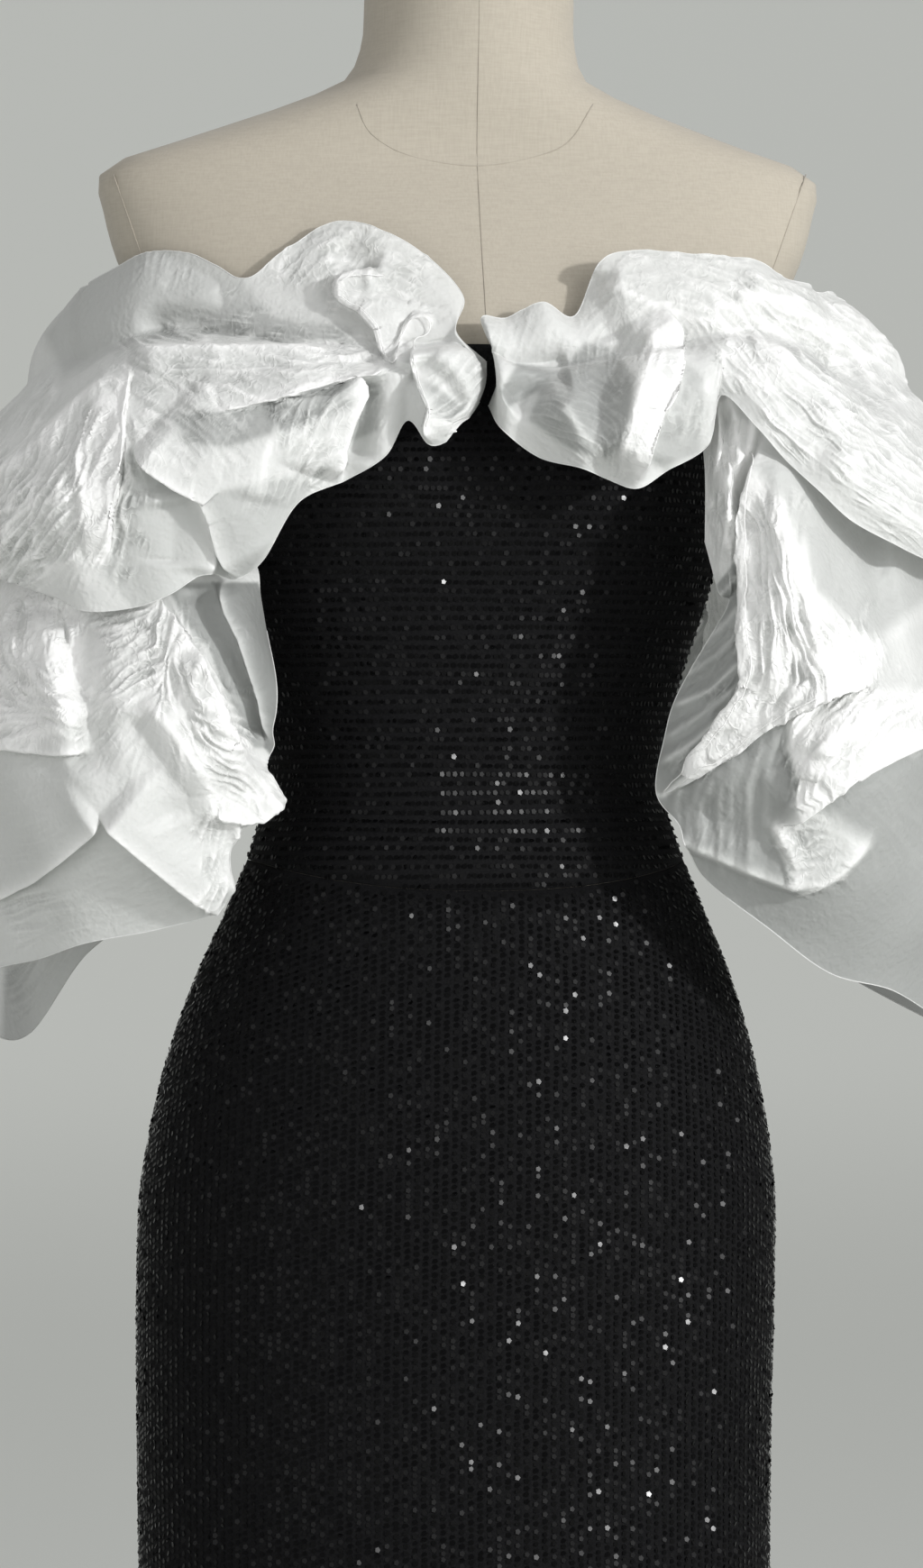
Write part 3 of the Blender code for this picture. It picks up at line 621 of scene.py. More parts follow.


# sleeves
# Each piece has a dictionary. A row of "folds" is a fold line from the centre front round to the
# side: places as (across, up, out) in millimetres as seen from the front, then its fold, and for a
# flounce how much lower the hem hangs behind. "steps" are edges of one layer on another: raised
# side, rise, sharpness, width, (across, up) places. "creases" slope on both sides: rise, sharpness,
# width, places. "swells" are rounded: rise, width, places. "flows" say how the crushed ridges run:
# across, up, radius, turn in degrees, strength. "tones" are patches of painted shade, greyer where
# the folds shade the cloth and partly where fewer layers lie on one another, and of painted light,
# whiter on lit folds and partly where more layers lie: amount, blur, corners. "edges" are pressed
# edges that stand out, drawn with a painted highlight, and "base" is painted light that lifts the
# tone of the whole piece.
rightRuffle = {
    "base": 0.1,
    "folds": (
        ((15, 1294, 0), (15, 1290, 0), (15, 1286, 0), (14, 1280, 0), (11, 1272, 0), 0),
        ((-2, 1311, 112), (0, 1304, 122), (8, 1297, 146), (8, 1279, 156), (1, 1256, 148), 2),
        ((2, 1330, 102), (-10, 1305, 118), (-9, 1302, 156), (-14, 1280, 164), (-15, 1248, 154), 3),
        ((-16, 1351, 96), (-30, 1304, 112), (-30, 1297, 146), (-30, 1288, 158), (-29, 1262, 150), -6),
        ((-40, 1366, 92), (-47, 1304, 110), (-48, 1295, 142), (-48, 1283, 158), (-41, 1242, 150), 5),
        ((-69, 1372, 88), (-70, 1305, 106), (-70, 1298, 140), (-68, 1280, 158), (-63, 1229, 148), -5),
        ((-96, 1356, 84), (-92, 1308, 102), (-92, 1300, 140), (-90, 1270, 164), (-89, 1216, 146), 5),
        ((-119, 1339, 82), (-115, 1311, 98), (-115, 1301, 140), (-114, 1255, 168), (-110, 1184, 146), -5),
        ((-135, 1347, 78), (-135, 1313, 94), (-136, 1301, 138), (-137, 1245, 168), (-124, 1174, 140), 4),
        ((-152, 1354, 74), (-153, 1314, 90), (-156, 1300, 136), (-157, 1240, 168), (-142, 1177, 152), -6),
        ((-172, 1355, 66), (-171, 1312, 84), (-176, 1298, 130), (-177, 1235, 168), (-160, 1165, 155), 6),
        ((-191, 1347, 52), (-190, 1305, 74), (-200, 1290, 118), (-199, 1230, 166), (-182, 1158, 154), -5),
        ((-203, 1339, 36), (-205, 1296, 60), (-219, 1276, 102), (-219, 1222, 160), (-206, 1156, 147), 6),
        ((-207, 1337, 24), (-216, 1296, 46), (-238, 1266, 86), (-238, 1215, 148), (-227, 1164, 133), -6),
        ((-209, 1335, 16), (-225, 1294, 34), (-253, 1256, 66), (-254, 1207, 128), (-247, 1172, 108), 6),
        ((-211, 1332, 10), (-232, 1289, 22), (-264, 1247, 44), (-269, 1200, 96), (-265, 1176, 80), -5),
        ((-213, 1329, 5), (-237, 1285, 11), (-273, 1244, 22), (-282, 1195, 50), (-281, 1174, 42), 4),
        ((-214, 1327, 0), (-240, 1282, 0), (-278, 1242, 0), (-288, 1192, 0), (-288, 1173, 0), 0),
    ),
    "steps": (
        ("right", 12, 2.5, 40,
         ((-40, 1345), (-62, 1341), (-69, 1335), (-64, 1329), (-55, 1325), (-45, 1314), (-40, 1297),
          (-38, 1292))),
        ("right", 9, 2.5, 16,
         ((-37, 1292), (-33, 1300), (-29, 1313), (-24, 1319), (-18, 1318), (-15, 1311))),
        ("right", 10, 2.5, 30,
         ((-24, 1308), (-25, 1295), (-21, 1281), (-15, 1268), (-18, 1257), (-15, 1246))),
        ("below", 7, 2.5, 14, ((-14, 1264), (-4, 1258), (6, 1262), (12, 1272))),
        ("above", 9, 3.2, 22,
         ((-142, 1266), (-125, 1270), (-92, 1278), (-65, 1286), (-45, 1290), (-36, 1296))),
        ("below", 8, 2.2, 18,
         ((-186, 1296), (-176, 1302), (-150, 1302), (-110, 1302), (-70, 1302), (-44, 1300))),
        ("above", 15, 2.5, 70,
         ((-184, 1249), (-180, 1245), (-171, 1237), (-157, 1227), (-141, 1219), (-135, 1205),
          (-131, 1189), (-121, 1170))),
        ("left", 13, 2.5, 60, ((-62, 1290), (-54, 1278), (-60, 1263), (-66, 1246), (-69, 1226))),
        ("left", 8, 2.5, 40, ((-150, 1232), (-147, 1222), (-140, 1202), (-136, 1184), (-140, 1172))),
        ("left", 10, 3, 20,
         ((-181, 1296), (-186, 1284), (-189, 1266), (-190, 1248), (-191, 1229), (-196, 1212),
          (-199, 1184))),
        ("right", 6, 3, 16,
         ((-196, 1284), (-203, 1270), (-207, 1256), (-212, 1242), (-210, 1226), (-208, 1202),
          (-205, 1184))),
        ("below", 8, 3, 60, ((-192, 1290), (-217, 1269), (-238, 1247), (-262, 1228))),
    ),
    "creases": (
        (-6, 2, 12, ((-66, 1362), (-60, 1352), (-46, 1344))),
        (-6, 2, 18, ((-160, 1218), (-158, 1200), (-160, 1180))),
        (5, 2, 20, ((-100, 1262), (-108, 1240), (-112, 1215))),
    ),
    "swells": (
        (-12, 8, ((-24, 1294), (-10, 1283), (2, 1266))),
        (-6, 14, ((-122, 1342), (-116, 1328), (-108, 1310))),
        (-11, 10, ((-182, 1314), (-150, 1314), (-110, 1312), (-72, 1309), (-56, 1306))),
        (-10, 9, ((-52, 1288), (-50, 1270), (-56, 1250), (-58, 1238))),
    ),
    "flows": (
        (-54, 1354, 22, -28, 1.0), (-80, 1352, 18, 48, 1.5), (-34, 1340, 18, -30, 1.0),
        (-100, 1352, 16, 60, 0.7), (-165, 1352, 18, 75, 0.35), (-150, 1293, 22, -10, 1.2),
        (-120, 1291, 20, -14, 1.2), (-92, 1290, 18, -8, 1.1), (-62, 1294, 18, 8, 0.9),
        (-176, 1290, 14, -50, 0.9), (-194, 1250, 18, 82, 1.7), (-193, 1215, 15, 76, 1.7),
        (-198, 1190, 14, 80, 1.2), (-236, 1215, 24, 52, 2.2), (-222, 1240, 20, 60, 1.4),
        (-246, 1192, 24, 46, 2.2), (-262, 1222, 22, 50, 1.8), (-244, 1262, 20, 55, 0.5),
        (-150, 1262, 18, -35, 0.8), (-128, 1252, 18, -60, 0.5), (-80, 1262, 15, 66, 1.2),
        (-78, 1238, 14, 58, 1.2), (-66, 1278, 12, 60, 0.9), (-108, 1222, 14, 70, 0.4),
        (-50, 1260, 12, 80, 0.3), (0, 1283, 16, 42, 0.8), (-170, 1250, 16, -40, 1.0),
    ),
    "tones": (
        (-0.42, 10,
         ((-232, 1310), (-205, 1346), (-167, 1362), (-149, 1362), (-128, 1348), (-104, 1318),
          (-60, 1312), (-60, 1303), (-150, 1304), (-185, 1306), (-220, 1285))),
        (-0.12, 14, ((-170, 1322), (-72, 1322), (-60, 1308), (-72, 1300), (-164, 1302))),
        (-0.35, 4,
         ((-187, 1250), (-171, 1236), (-157, 1226), (-141, 1218), (-134, 1204), (-130, 1188),
          (-124, 1176), (-148, 1168), (-180, 1156), (-197, 1176), (-192, 1206))),
        (-0.42, 5, ((-137, 1222), (-76, 1234), (-98, 1200), (-120, 1172), (-134, 1186))),
        (-0.6, 6,
         ((-160, 1264), (-125, 1270), (-92, 1278), (-64, 1286), (-62, 1272), (-90, 1258), (-130, 1246),
          (-152, 1250))),
        (-0.5, 4, ((-58, 1284), (-44, 1282), (-45, 1256), (-66, 1248), (-58, 1264))),
        (-0.5, 3, ((-24, 1292), (2, 1268), (-8, 1258), (-20, 1276))),
        (-0.1, 8, ((-100, 1372), (-60, 1384), (-20, 1364), (-4, 1336), (-40, 1336), (-70, 1350))),
        (0.6, 4,
         ((-186, 1296), (-182, 1260), (-188, 1226), (-196, 1182), (-206, 1184), (-204, 1222),
          (-200, 1266))),
        (0.25, 10, ((-200, 1262), (-200, 1170), (-290, 1170), (-290, 1230), (-240, 1262))),
    ),
    "edges": (
        ((-41, 1342), (-62, 1341), (-69, 1335), (-64, 1329), (-55, 1325), (-45, 1314), (-40, 1297),
         (-38, 1294), (-35, 1299), (-30, 1312), (-24, 1319), (-18, 1318), (-17, 1312), (-25, 1306),
         (-25, 1295), (-21, 1281), (-16, 1270), (-16, 1263), (-19, 1257)),
    ),
}
leftRuffle = {
    "base": 0.04,
    "folds": (
        ((21, 1296, 0), (23, 1292, 0), (23, 1288, 0), (20, 1280, 0), (16, 1270, 0), 0),
        ((12, 1318, 114), (18, 1300, 122), (19, 1298, 140), (22, 1280, 152), (23, 1257, 146), 8),
        ((27, 1319, 110), (31, 1294, 118), (35, 1290, 150), (40, 1270, 160), (45, 1242, 150), -18),
        ((45, 1327, 106), (50, 1294, 114), (51, 1288, 148), (60, 1265, 164), (66, 1235, 152), 16),
        ((65, 1320, 102), (70, 1296, 112), (72, 1290, 144), (81, 1260, 166), (85, 1229, 150), -14),
        ((77, 1349, 96), (88, 1300, 110), (90, 1294, 142), (101, 1265, 162), (98, 1224, 150), 6),
        ((97, 1356, 92), (107, 1304, 108), (109, 1298, 138), (117, 1270, 156), (116, 1234, 146), -6),
        ((127, 1354, 88), (131, 1308, 104), (132, 1302, 136), (140, 1280, 152), (137, 1248, 142), 4),
        ((145, 1353, 84), (150, 1312, 98), (151, 1307, 134), (149, 1296, 148), (146, 1276, 148), -4),
        ((165, 1350, 76), (167, 1311, 92), (170, 1304, 134), (169, 1282, 156), (164, 1258, 154), 5),
        ((181, 1341, 62), (184, 1306, 82), (191, 1296, 128), (191, 1266, 160), (182, 1240, 156), -5),
        ((192, 1337, 48), (196, 1300, 70), (210, 1283, 116), (211, 1246, 160), (199, 1222, 154), 6),
        ((199, 1333, 34), (206, 1292, 56), (227, 1268, 104), (230, 1228, 154), (219, 1206, 148), -5),
        ((205, 1333, 24), (220, 1296, 43), (244, 1260, 88), (248, 1214, 140), (240, 1193, 132), 6),
        ((209, 1331, 16), (230, 1294, 31), (256, 1252, 68), (262, 1204, 118), (257, 1186, 110), -5),
        ((213, 1328, 10), (238, 1290, 20), (266, 1247, 46), (274, 1198, 86), (270, 1180, 80), 5),
        ((216, 1324, 5), (244, 1286, 10), (273, 1243, 23), (282, 1195, 46), (279, 1178, 42), -3),
        ((218, 1321, 0), (248, 1281, 0), (277, 1241, 0), (286, 1192, 0), (284, 1176, 0), 0),
    ),
    "steps": (
        ("left", 11, 2.5, 34,
         ((111, 1328), (121, 1311), (122, 1292), (118, 1277), (111, 1268), (105, 1245), (98, 1224))),
        ("right", 11, 2.5, 20, ((126, 1304), (121, 1284), (113, 1270), (106, 1250), (102, 1236))),
    ),
    "creases": (
        (10, 2, 16, ((108, 1320), (106, 1296), (96, 1262), (90, 1236))),
        (-6, 2, 12, ((74, 1346), (78, 1326), (84, 1304))),
        (5, 2, 22, ((78, 1340), (100, 1330), (128, 1318), (150, 1314))),
        (7, 2, 20, ((136, 1316), (168, 1306), (200, 1282), (226, 1252))),
        (-7, 2, 14, ((142, 1310), (166, 1292), (190, 1268), (212, 1240))),
        (-6, 2, 16, ((150, 1324), (182, 1314), (212, 1290), (240, 1256))),
        (6, 2, 16, ((150, 1336), (188, 1326), (216, 1304), (236, 1276))),
        (5, 2, 14, ((56, 1274), (68, 1254), (82, 1240))),
    ),
    "swells": (
        (-13, 9, ((62, 1289), (50, 1286), (40, 1280), (26, 1270))),
    ),
    "flows": (
        (66, 1262, 24, -30, 0.3), (92, 1245, 13, 70, 0.9), (112, 1346, 22, 10, 0.8),
        (140, 1340, 20, -6, 0.8), (88, 1325, 20, 40, 0.5), (28, 1312, 16, 72, 0.5),
        (114, 1300, 15, 72, 1.0), (108, 1270, 13, 74, 1.0), (128, 1262, 12, 82, 0.5),
        (146, 1330, 18, -50, 1.3), (158, 1312, 20, -55, 1.5), (176, 1290, 18, -50, 1.4),
        (186, 1322, 20, -18, 1.2), (206, 1306, 20, -34, 1.5), (196, 1272, 18, -40, 1.4),
        (222, 1284, 20, -38, 1.5), (216, 1254, 18, -34, 1.4), (246, 1262, 20, -40, 1.4),
        (240, 1232, 18, -30, 1.4), (266, 1236, 20, -42, 1.4), (264, 1208, 20, -34, 1.2),
        (184, 1254, 14, -44, 1.1), (40, 1275, 12, 30, 0.2), (60, 1299, 12, 80, 0.4),
        (82, 1302, 12, 80, 0.4),
    ),
    "tones": (
        (-0.6, 5,
         ((56, 1290), (44, 1278), (38, 1262), (62, 1245), (85, 1240), (94, 1256), (97, 1286),
          (86, 1302), (70, 1305))),
        (-0.7, 4, ((32, 1293), (54, 1289), (45, 1279), (27, 1269), (22, 1278))),
        (0.5, 4,
         ((108, 1327), (123, 1309), (120, 1283), (111, 1268), (103, 1244), (97, 1228), (94, 1240),
          (101, 1270), (103, 1300))),
        (-0.4, 4,
         ((124, 1300), (127, 1280), (113, 1260), (104, 1240), (113, 1236), (134, 1244), (136, 1284))),
        (0.18, 12,
         ((140, 1320), (180, 1340), (240, 1320), (290, 1250), (290, 1180), (220, 1206), (160, 1260))),
    ),
    "edges": (),
}
rightFlounce = {
    "base": 0.1,
    "folds": (
        ((-120, 1195, 112), (-115, 1180, 118), (-111, 1165, 120), (-107, 1145, 118), 0, 0),
        ((-137, 1200, 118), (-127, 1175, 134), (-115, 1145, 136), (-101, 1114, 124), 3, 0),
        ((-155, 1200, 122), (-147, 1160, 146), (-127, 1115, 146), (-103, 1084, 120), -4, 0),
        ((-172, 1200, 124), (-165, 1145, 150), (-137, 1095, 150), (-106, 1070, 118), 5, 0),
        ((-190, 1200, 124), (-182, 1135, 152), (-152, 1080, 156), (-98, 1050, 120), -5, 0),
        ((-205, 1200, 122), (-199, 1125, 154), (-172, 1065, 160), (-115, 1039, 122), 6, 0),
        ((-219, 1200, 114), (-213, 1115, 152), (-185, 1050, 158), (-129, 1025, 120), -5, 0),
        ((-232, 1200, 102), (-228, 1110, 146), (-200, 1037, 152), (-129, 993, 114), 5, 0),
        ((-244, 1200, 86), (-243, 1105, 134), (-215, 1030, 140), (-166, 980, 112), -6, 0),
        ((-254, 1200, 66), (-260, 1100, 120), (-232, 1022, 120), (-205, 972, 102), 6, 14),
        ((-262, 1200, 43), (-276, 1097, 88), (-252, 1020, 92), (-235, 963, 84), -6, 48),
        ((-267, 1200, 21), (-288, 1095, 46), (-273, 1017, 52), (-260, 956, 52), 5, 40),
        ((-269, 1200, 0), (-294, 1092, 0), (-286, 1015, 0), (-278, 940, 0), 0, 0),
    ),
    "steps": (
        ("left", 11, 2.2, 60,
         ((-183, 1176), (-170, 1163), (-158, 1146), (-146, 1130), (-139, 1115), (-133, 1101),
          (-125, 1082), (-112, 1068))),
        ("right", 9, 2.2, 16,
         ((-134, 1176), (-129, 1156), (-121, 1140), (-115, 1122), (-110, 1107), (-105, 1080))),
        ("above", 9, 2.2, 30, ((-268, 1083), (-245, 1080), (-225, 1078), (-204, 1079))),
        ("above", 12, 2.2, 60, ((-197, 1041), (-210, 1030), (-222, 1020), (-238, 1008), (-266, 994))),
        ("above", 12, 2.2, 60, ((-202, 1043), (-175, 1020), (-153, 1002), (-128, 984))),
        ("above", 9, 2.2, 14, ((-138, 1044), (-122, 1039), (-108, 1041), (-96, 1052))),
        ("left", 7, 2.2, 16, ((-122, 1050), (-124, 1030), (-121, 1012), (-125, 994))),
    ),
    "creases": (
        (7, 1.8, 12, ((-150, 1136), (-140, 1106), (-128, 1078), (-116, 1056))),
        (6, 1.8, 12, ((-176, 1110), (-158, 1086), (-140, 1062), (-132, 1034))),
        (8, 1.8, 12, ((-252, 1150), (-240, 1124), (-222, 1100), (-206, 1092))),
        (7, 1.8, 12, ((-236, 1158), (-228, 1128), (-214, 1102))),
        (-6, 2, 12, ((-222, 1164), (-216, 1134), (-216, 1104))),
    ),
    "swells": (
        (-9, 10, ((-152, 1176), (-140, 1150), (-130, 1131), (-124, 1115), (-119, 1098), (-113, 1080))),
        (-7, 12, ((-203, 1176), (-198, 1150), (-205, 1120), (-206, 1092), (-210, 1062))),
        (-6, 12, ((-186, 1100), (-170, 1066), (-156, 1036))),
    ),
    "flows": (
        (-188, 1150, 14, 10, 2.0), (-176, 1128, 16, 25, 2.0), (-162, 1142, 14, -80, 1.9),
        (-150, 1118, 14, -75, 2.0), (-136, 1096, 15, -35, 1.9), (-146, 1080, 14, -50, 1.6),
        (-126, 1072, 14, -28, 1.5), (-118, 1056, 14, -20, 1.4), (-108, 1052, 14, -70, 1.0),
        (-134, 1036, 10, 80, 1.6), (-132, 1014, 10, 84, 1.6), (-134, 996, 9, 80, 1.3),
        (-192, 1106, 14, 50, 1.1), (-188, 1078, 14, 60, 0.6), (-168, 1066, 18, 80, 0.2),
        (-246, 1146, 16, 80, 2.2), (-226, 1148, 14, 84, 1.8), (-256, 1118, 16, -60, 2.4),
        (-238, 1112, 15, -48, 2.4), (-224, 1100, 13, -30, 2.0), (-262, 1096, 14, 20, 1.8),
        (-240, 1094, 13, 10, 1.2), (-230, 1045, 28, 15, 0.12), (-185, 1000, 30, 20, 0.15),
        (-240, 990, 18, 12, 0.5),
    ),
    "tones": (
        (-0.75, 4,
         ((-164, 1172), (-137, 1172), (-131, 1156), (-123, 1140), (-117, 1122), (-112, 1107),
          (-108, 1080), (-114, 1080), (-125, 1101), (-132, 1115), (-138, 1132), (-150, 1147))),
        (-1.05, 3,
         ((-137, 1172), (-112, 1172), (-92, 1130), (-88, 1100), (-98, 1066), (-108, 1080), (-112, 1107),
          (-117, 1122), (-123, 1140), (-131, 1156))),
        (-0.2, 6, ((-268, 1081), (-204, 1078), (-206, 1044), (-238, 1006), (-270, 992))),
        (-0.25, 4,
         ((-200, 1040), (-128, 984), (-170, 976), (-240, 960), (-275, 950), (-270, 992), (-238, 1007))),
        (0.3, 12,
         ((-206, 1172), (-170, 1162), (-140, 1130), (-122, 1084), (-102, 1066), (-96, 1050),
          (-130, 1038), (-146, 1060), (-176, 1100), (-206, 1110))),
        (0.75, 8, ((-268, 1184), (-206, 1180), (-210, 1100), (-222, 1086), (-268, 1088))),
    ),
    "edges": (),
}
leftFlounce = {
    "base": 0.04,
    "folds": (
        ((139, 1284, 114), (138, 1260, 118), (137, 1230, 122), (136, 1195, 120), 0, 0),
        ((150, 1290, 126), (151, 1225, 138), (148, 1190, 138), (143, 1167, 128), 4, 0),
        ((162, 1284, 134), (166, 1205, 148), (163, 1175, 146), (150, 1160, 130), -4, 0),
        ((175, 1275, 140), (181, 1190, 156), (167, 1150, 154), (133, 1133, 126), 5, 0),
        ((187, 1264, 140), (195, 1170, 160), (175, 1125, 158), (121, 1108, 122), -5, 0),
        ((199, 1253, 136), (207, 1150, 164), (182, 1100, 158), (113, 1087, 118), 6, -6),
        ((211, 1241, 126), (220, 1130, 162), (185, 1075, 156), (110, 1055, 116), -5, -14),
        ((223, 1228, 110), (232, 1112, 156), (195, 1055, 152), (123, 1035, 114), 5, -18),
        ((235, 1215, 90), (245, 1100, 144), (202, 1035, 146), (136, 1009, 112), -6, -22),
        ((250, 1204, 94), (257, 1090, 124), (220, 1015, 130), (170, 980, 108), 6, -20),
        ((261, 1198, 68), (273, 1087, 92), (245, 1002, 102), (207, 955, 96), -6, -10),
        ((268, 1195, 34), (286, 1087, 50), (268, 995, 60), (240, 945, 66), 5, 0),
        ((270, 1195, 0), (292, 1087, 0), (282, 990, 0), (270, 925, 0), 0, 0),
    ),
    "steps": (
        ("right", 13, 2.2, 44,
         ((172, 1262), (164, 1232), (157, 1207), (158, 1158), (159, 1114), (150, 1099), (137, 1081),
          (122, 1066), (112, 1054))),
        ("above", 11, 2.2, 34,
         ((236, 1118), (216, 1114), (198, 1107), (185, 1101), (167, 1091), (154, 1080), (129, 1065),
          (113, 1053))),
        ("right", 6, 5, 34,
         ((190, 1106), (184, 1096), (184, 1080), (191, 1064), (188, 1049), (183, 1041), (175, 1034))),
        ("above", 13, 2.2, 46,
         ((272, 1092), (257, 1084), (240, 1076), (219, 1065), (208, 1056), (194, 1046), (176, 1033))),
        ("right", 5, 4, 18, ((172, 1040), (177, 1030), (183, 1018), (187, 1008), (190, 1002))),
        ("above", 7, 3, 22,
         ((108, 1036), (124, 1027), (142, 1019), (160, 1011), (176, 1005), (190, 1001), (202, 1004),
          (214, 1012), (224, 1022), (234, 1034))),
    ),
    "creases": (
        (4, 3, 14, ((224, 1134), (240, 1144), (258, 1158), (276, 1176))),
        (10, 1.5, 6, ((136, 1282), (140, 1262), (137, 1238), (134, 1212), (141, 1186))),
        (10, 1.5, 6, ((144, 1284), (141, 1262), (143, 1238), (149, 1214), (155, 1196))),
        (9, 1.5, 5, ((147, 1282), (154, 1262), (152, 1240), (146, 1222))),
        (9, 1.5, 6, ((165, 1270), (161, 1248), (153, 1228), (147, 1206), (150, 1182))),
        (4, 1.4, 5, ((157, 1178), (148, 1168), (133, 1152))),
        (5, 1.4, 6, ((158, 1162), (144, 1146), (126, 1134))),
        (3, 1.4, 4, ((158, 1147), (143, 1132), (122, 1118))),
        (5, 1.4, 6, ((158, 1130), (139, 1112), (116, 1102))),
        (3, 1.4, 4, ((154, 1114), (136, 1100), (112, 1084))),
        (5, 1.4, 5, ((146, 1098), (131, 1084), (109, 1070))),
        (2, 1.8, 5, ((124, 1060), (120, 1046), (126, 1026))),
        (3, 1.8, 6, ((135, 1066), (129, 1046), (136, 1018))),
        (2, 1.8, 4, ((143, 1072), (134, 1048), (137, 1022))),
        (3, 1.8, 6, ((154, 1079), (144, 1054), (146, 1006))),
        (1.5, 1.8, 4, ((160, 1082), (151, 1058), (152, 1014))),
        (3, 1.8, 7, ((170, 1088), (160, 1058), (162, 1000))),
        (2, 1.8, 5, ((178, 1092), (170, 1064), (171, 1022))),
        (6, 1.8, 14, ((176, 1230), (180, 1190), (178, 1146), (172, 1106))),
        (6, 1.8, 12, ((190, 1204), (194, 1168), (198, 1136), (196, 1114))),
        (6, 1.8, 14, ((250, 1106), (226, 1096), (204, 1080), (196, 1058))),
        (5, 1.8, 10, ((222, 1110), (206, 1092), (198, 1074))),
    ),
    "swells": (
        (9, 18, ((180, 1250), (184, 1210), (190, 1168), (204, 1132))),
    ),
    "flows": (
        (142, 1245, 14, 86, 1.6), (147, 1210, 13, 86, 1.5), (150, 1180, 14, 84, 0.5),
        (170, 1205, 13, -80, 1.8), (168, 1180, 14, -84, 2.0), (180, 1160, 15, -72, 2.2),
        (168, 1140, 14, 88, 2.0), (184, 1128, 15, -70, 2.2), (204, 1138, 15, -58, 2.1),
        (222, 1132, 13, -64, 1.9), (166, 1112, 13, 60, 1.8), (190, 1108, 12, 40, 1.8),
        (150, 1088, 11, 42, 1.4), (128, 1068, 9, 40, 1.0), (216, 1102, 14, 52, 1.6),
        (236, 1096, 14, 40, 1.6), (200, 1086, 13, 62, 1.5), (212, 1076, 12, 50, 1.5),
        (194, 1062, 11, 70, 1.4), (256, 1098, 13, 46, 1.4), (188, 1030, 10, 30, 1.4),
        (200, 1018, 11, 20, 1.5), (192, 1008, 9, 14, 1.3), (222, 1190, 26, 60, 0.08),
        (235, 1030, 30, -50, 0.1), (134, 1130, 16, 42, 0.4), (145, 1036, 20, 80, 0.3),
    ),
    "tones": (
        (-0.32, 6,
         ((166, 1238), (196, 1236), (262, 1200), (280, 1178), (262, 1158), (234, 1138), (216, 1152),
          (198, 1168), (184, 1206))),
        (0.62, 6,
         ((157, 1207), (158, 1116), (150, 1099), (113, 1054), (154, 1081), (185, 1102), (229, 1116),
          (236, 1134), (214, 1150), (197, 1166), (182, 1206), (168, 1232))),
        (0.55, 10,
         ((184, 1096), (229, 1113), (280, 1112), (272, 1092), (256, 1084), (219, 1065), (194, 1046),
          (188, 1049), (191, 1064))),
        (0.55, 12,
         ((174, 1038), (192, 1050), (212, 1040), (226, 1026), (210, 1008), (192, 1000), (184, 1012))),
        (-0.75, 2,
         ((157, 1190), (158, 1114), (150, 1099), (112, 1054), (100, 1060), (104, 1090), (116, 1125),
          (135, 1160))),
        (-0.8, 5,
         ((113, 1053), (154, 1080), (185, 1101), (184, 1080), (190, 1062), (188, 1048), (175, 1034),
          (190, 1001), (160, 1011), (124, 1027), (96, 1040), (90, 1050))),
        (-0.72, 5,
         ((300, 1092), (257, 1083), (219, 1064), (194, 1045), (175, 1034), (190, 1001), (160, 1011),
          (124, 1027), (96, 1040), (80, 940), (300, 890))),
        (0.3, 4, ((136, 1290), (134, 1176), (150, 1176), (157, 1200), (166, 1240), (166, 1290))),
    ),
    "edges": (
        ((163, 1244), (158, 1220), (158, 1196), (158, 1158), (159, 1114), (150, 1099), (137, 1081),
         (122, 1066), (113, 1055)),
        ((198, 1108), (185, 1101), (167, 1091), (154, 1080), (129, 1065), (114, 1054)),
    ),
}
sleeve = {
    "backColumns": 7, "backSpread": 32 * mm, "clothEase": 0.8 * mm, "sequinWall": 1.6 * mm,
    "clearance": 7 * mm, "free": 12,              # columns at each end that may lie on the dress
    "endFade": 22, "sideFade": 26,                # columns over which swell and creases fade in
    # the hems' own tone, and the painted highlight on the pressed edges, are among these
    "foldShare": 0.3, "hemRadius": 0.35 * mm, "hemTone": 0.3, "edgeHighlightTone": 0.9,
    "edgeStep": 1.5 * mm, "edgeReach": 1.3 * mm, "edgeLift": 2 * mm,
}
# how the two kinds of piece are made up: the fold line's share at each of its places, the
# squares between them, columns to a fold, places seated on the bodice, and what they rest on
ruffle = {
    "shares": (0.7, 0.1, 0.5, 0.9, 1.0), "spans": (36, 18, 60, 66), "columns": 22,
    "seated": 5, "rest": 0.8 * mm, "tuck": 0, "puff": 8 * mm,
}
flounce = {
    "shares": (0.1, 0.6, 0.9, 1.0), "spans": (64, 72, 72), "columns": 24,
    "seated": 1, "rest": 1.8 * mm, "tuck": 14 * mm, "puff": 0,
}
crease = {
    "taper": 0.14,                                # share of its length over which a crease fades in
    "hollow": 0.25, "hollowReach": 5, "lip": 0.45, "lipAt": 1.2, "lipWidth": 1.6,
    # widths of the painted highlight at steps and folds, the fold rise that paints it in full, and its
    # share of the colour
    "stepHighlightWidth": 1.1, "foldHighlightWidth": 1.2, "fullRise": 8 * mm, "creaseHighlightShare": 0.7,
}
crinkle = {
    # shine and shade: the painted highlight on the ridge crests and the painted shade between them
    "net": 1.5, "margin": 30, "step": 1.4, "even": 0.38, "rise": 1.1 * mm, "shine": 0.6, "shade": 0.47,
    "wide": {"width": 6.0, "reach": 22, "sharp": 3.1, "floor": -0.5, "share": 0.7, "shine": 1,
             "seed": 10},
    "narrow": {"width": 3.6, "reach": 12, "sharp": 3.2, "floor": -0.4, "share": 0.3, "shine": 0.5,
               "seed": 20},
    "patchy": 0.6, "patchSize": 15, "ragged": 0.5, "raggedSize": 13, "wander": 0.4, "wanderSize": 12,
    "spread": 1.2, "least": 0.02, "full": 0.6,
}


def outwardOf(points):
    flat = points * (0.6, 1, 0)
    return flat / np.maximum(np.linalg.norm(flat, axis=-1, keepdims=True), 1e-6)


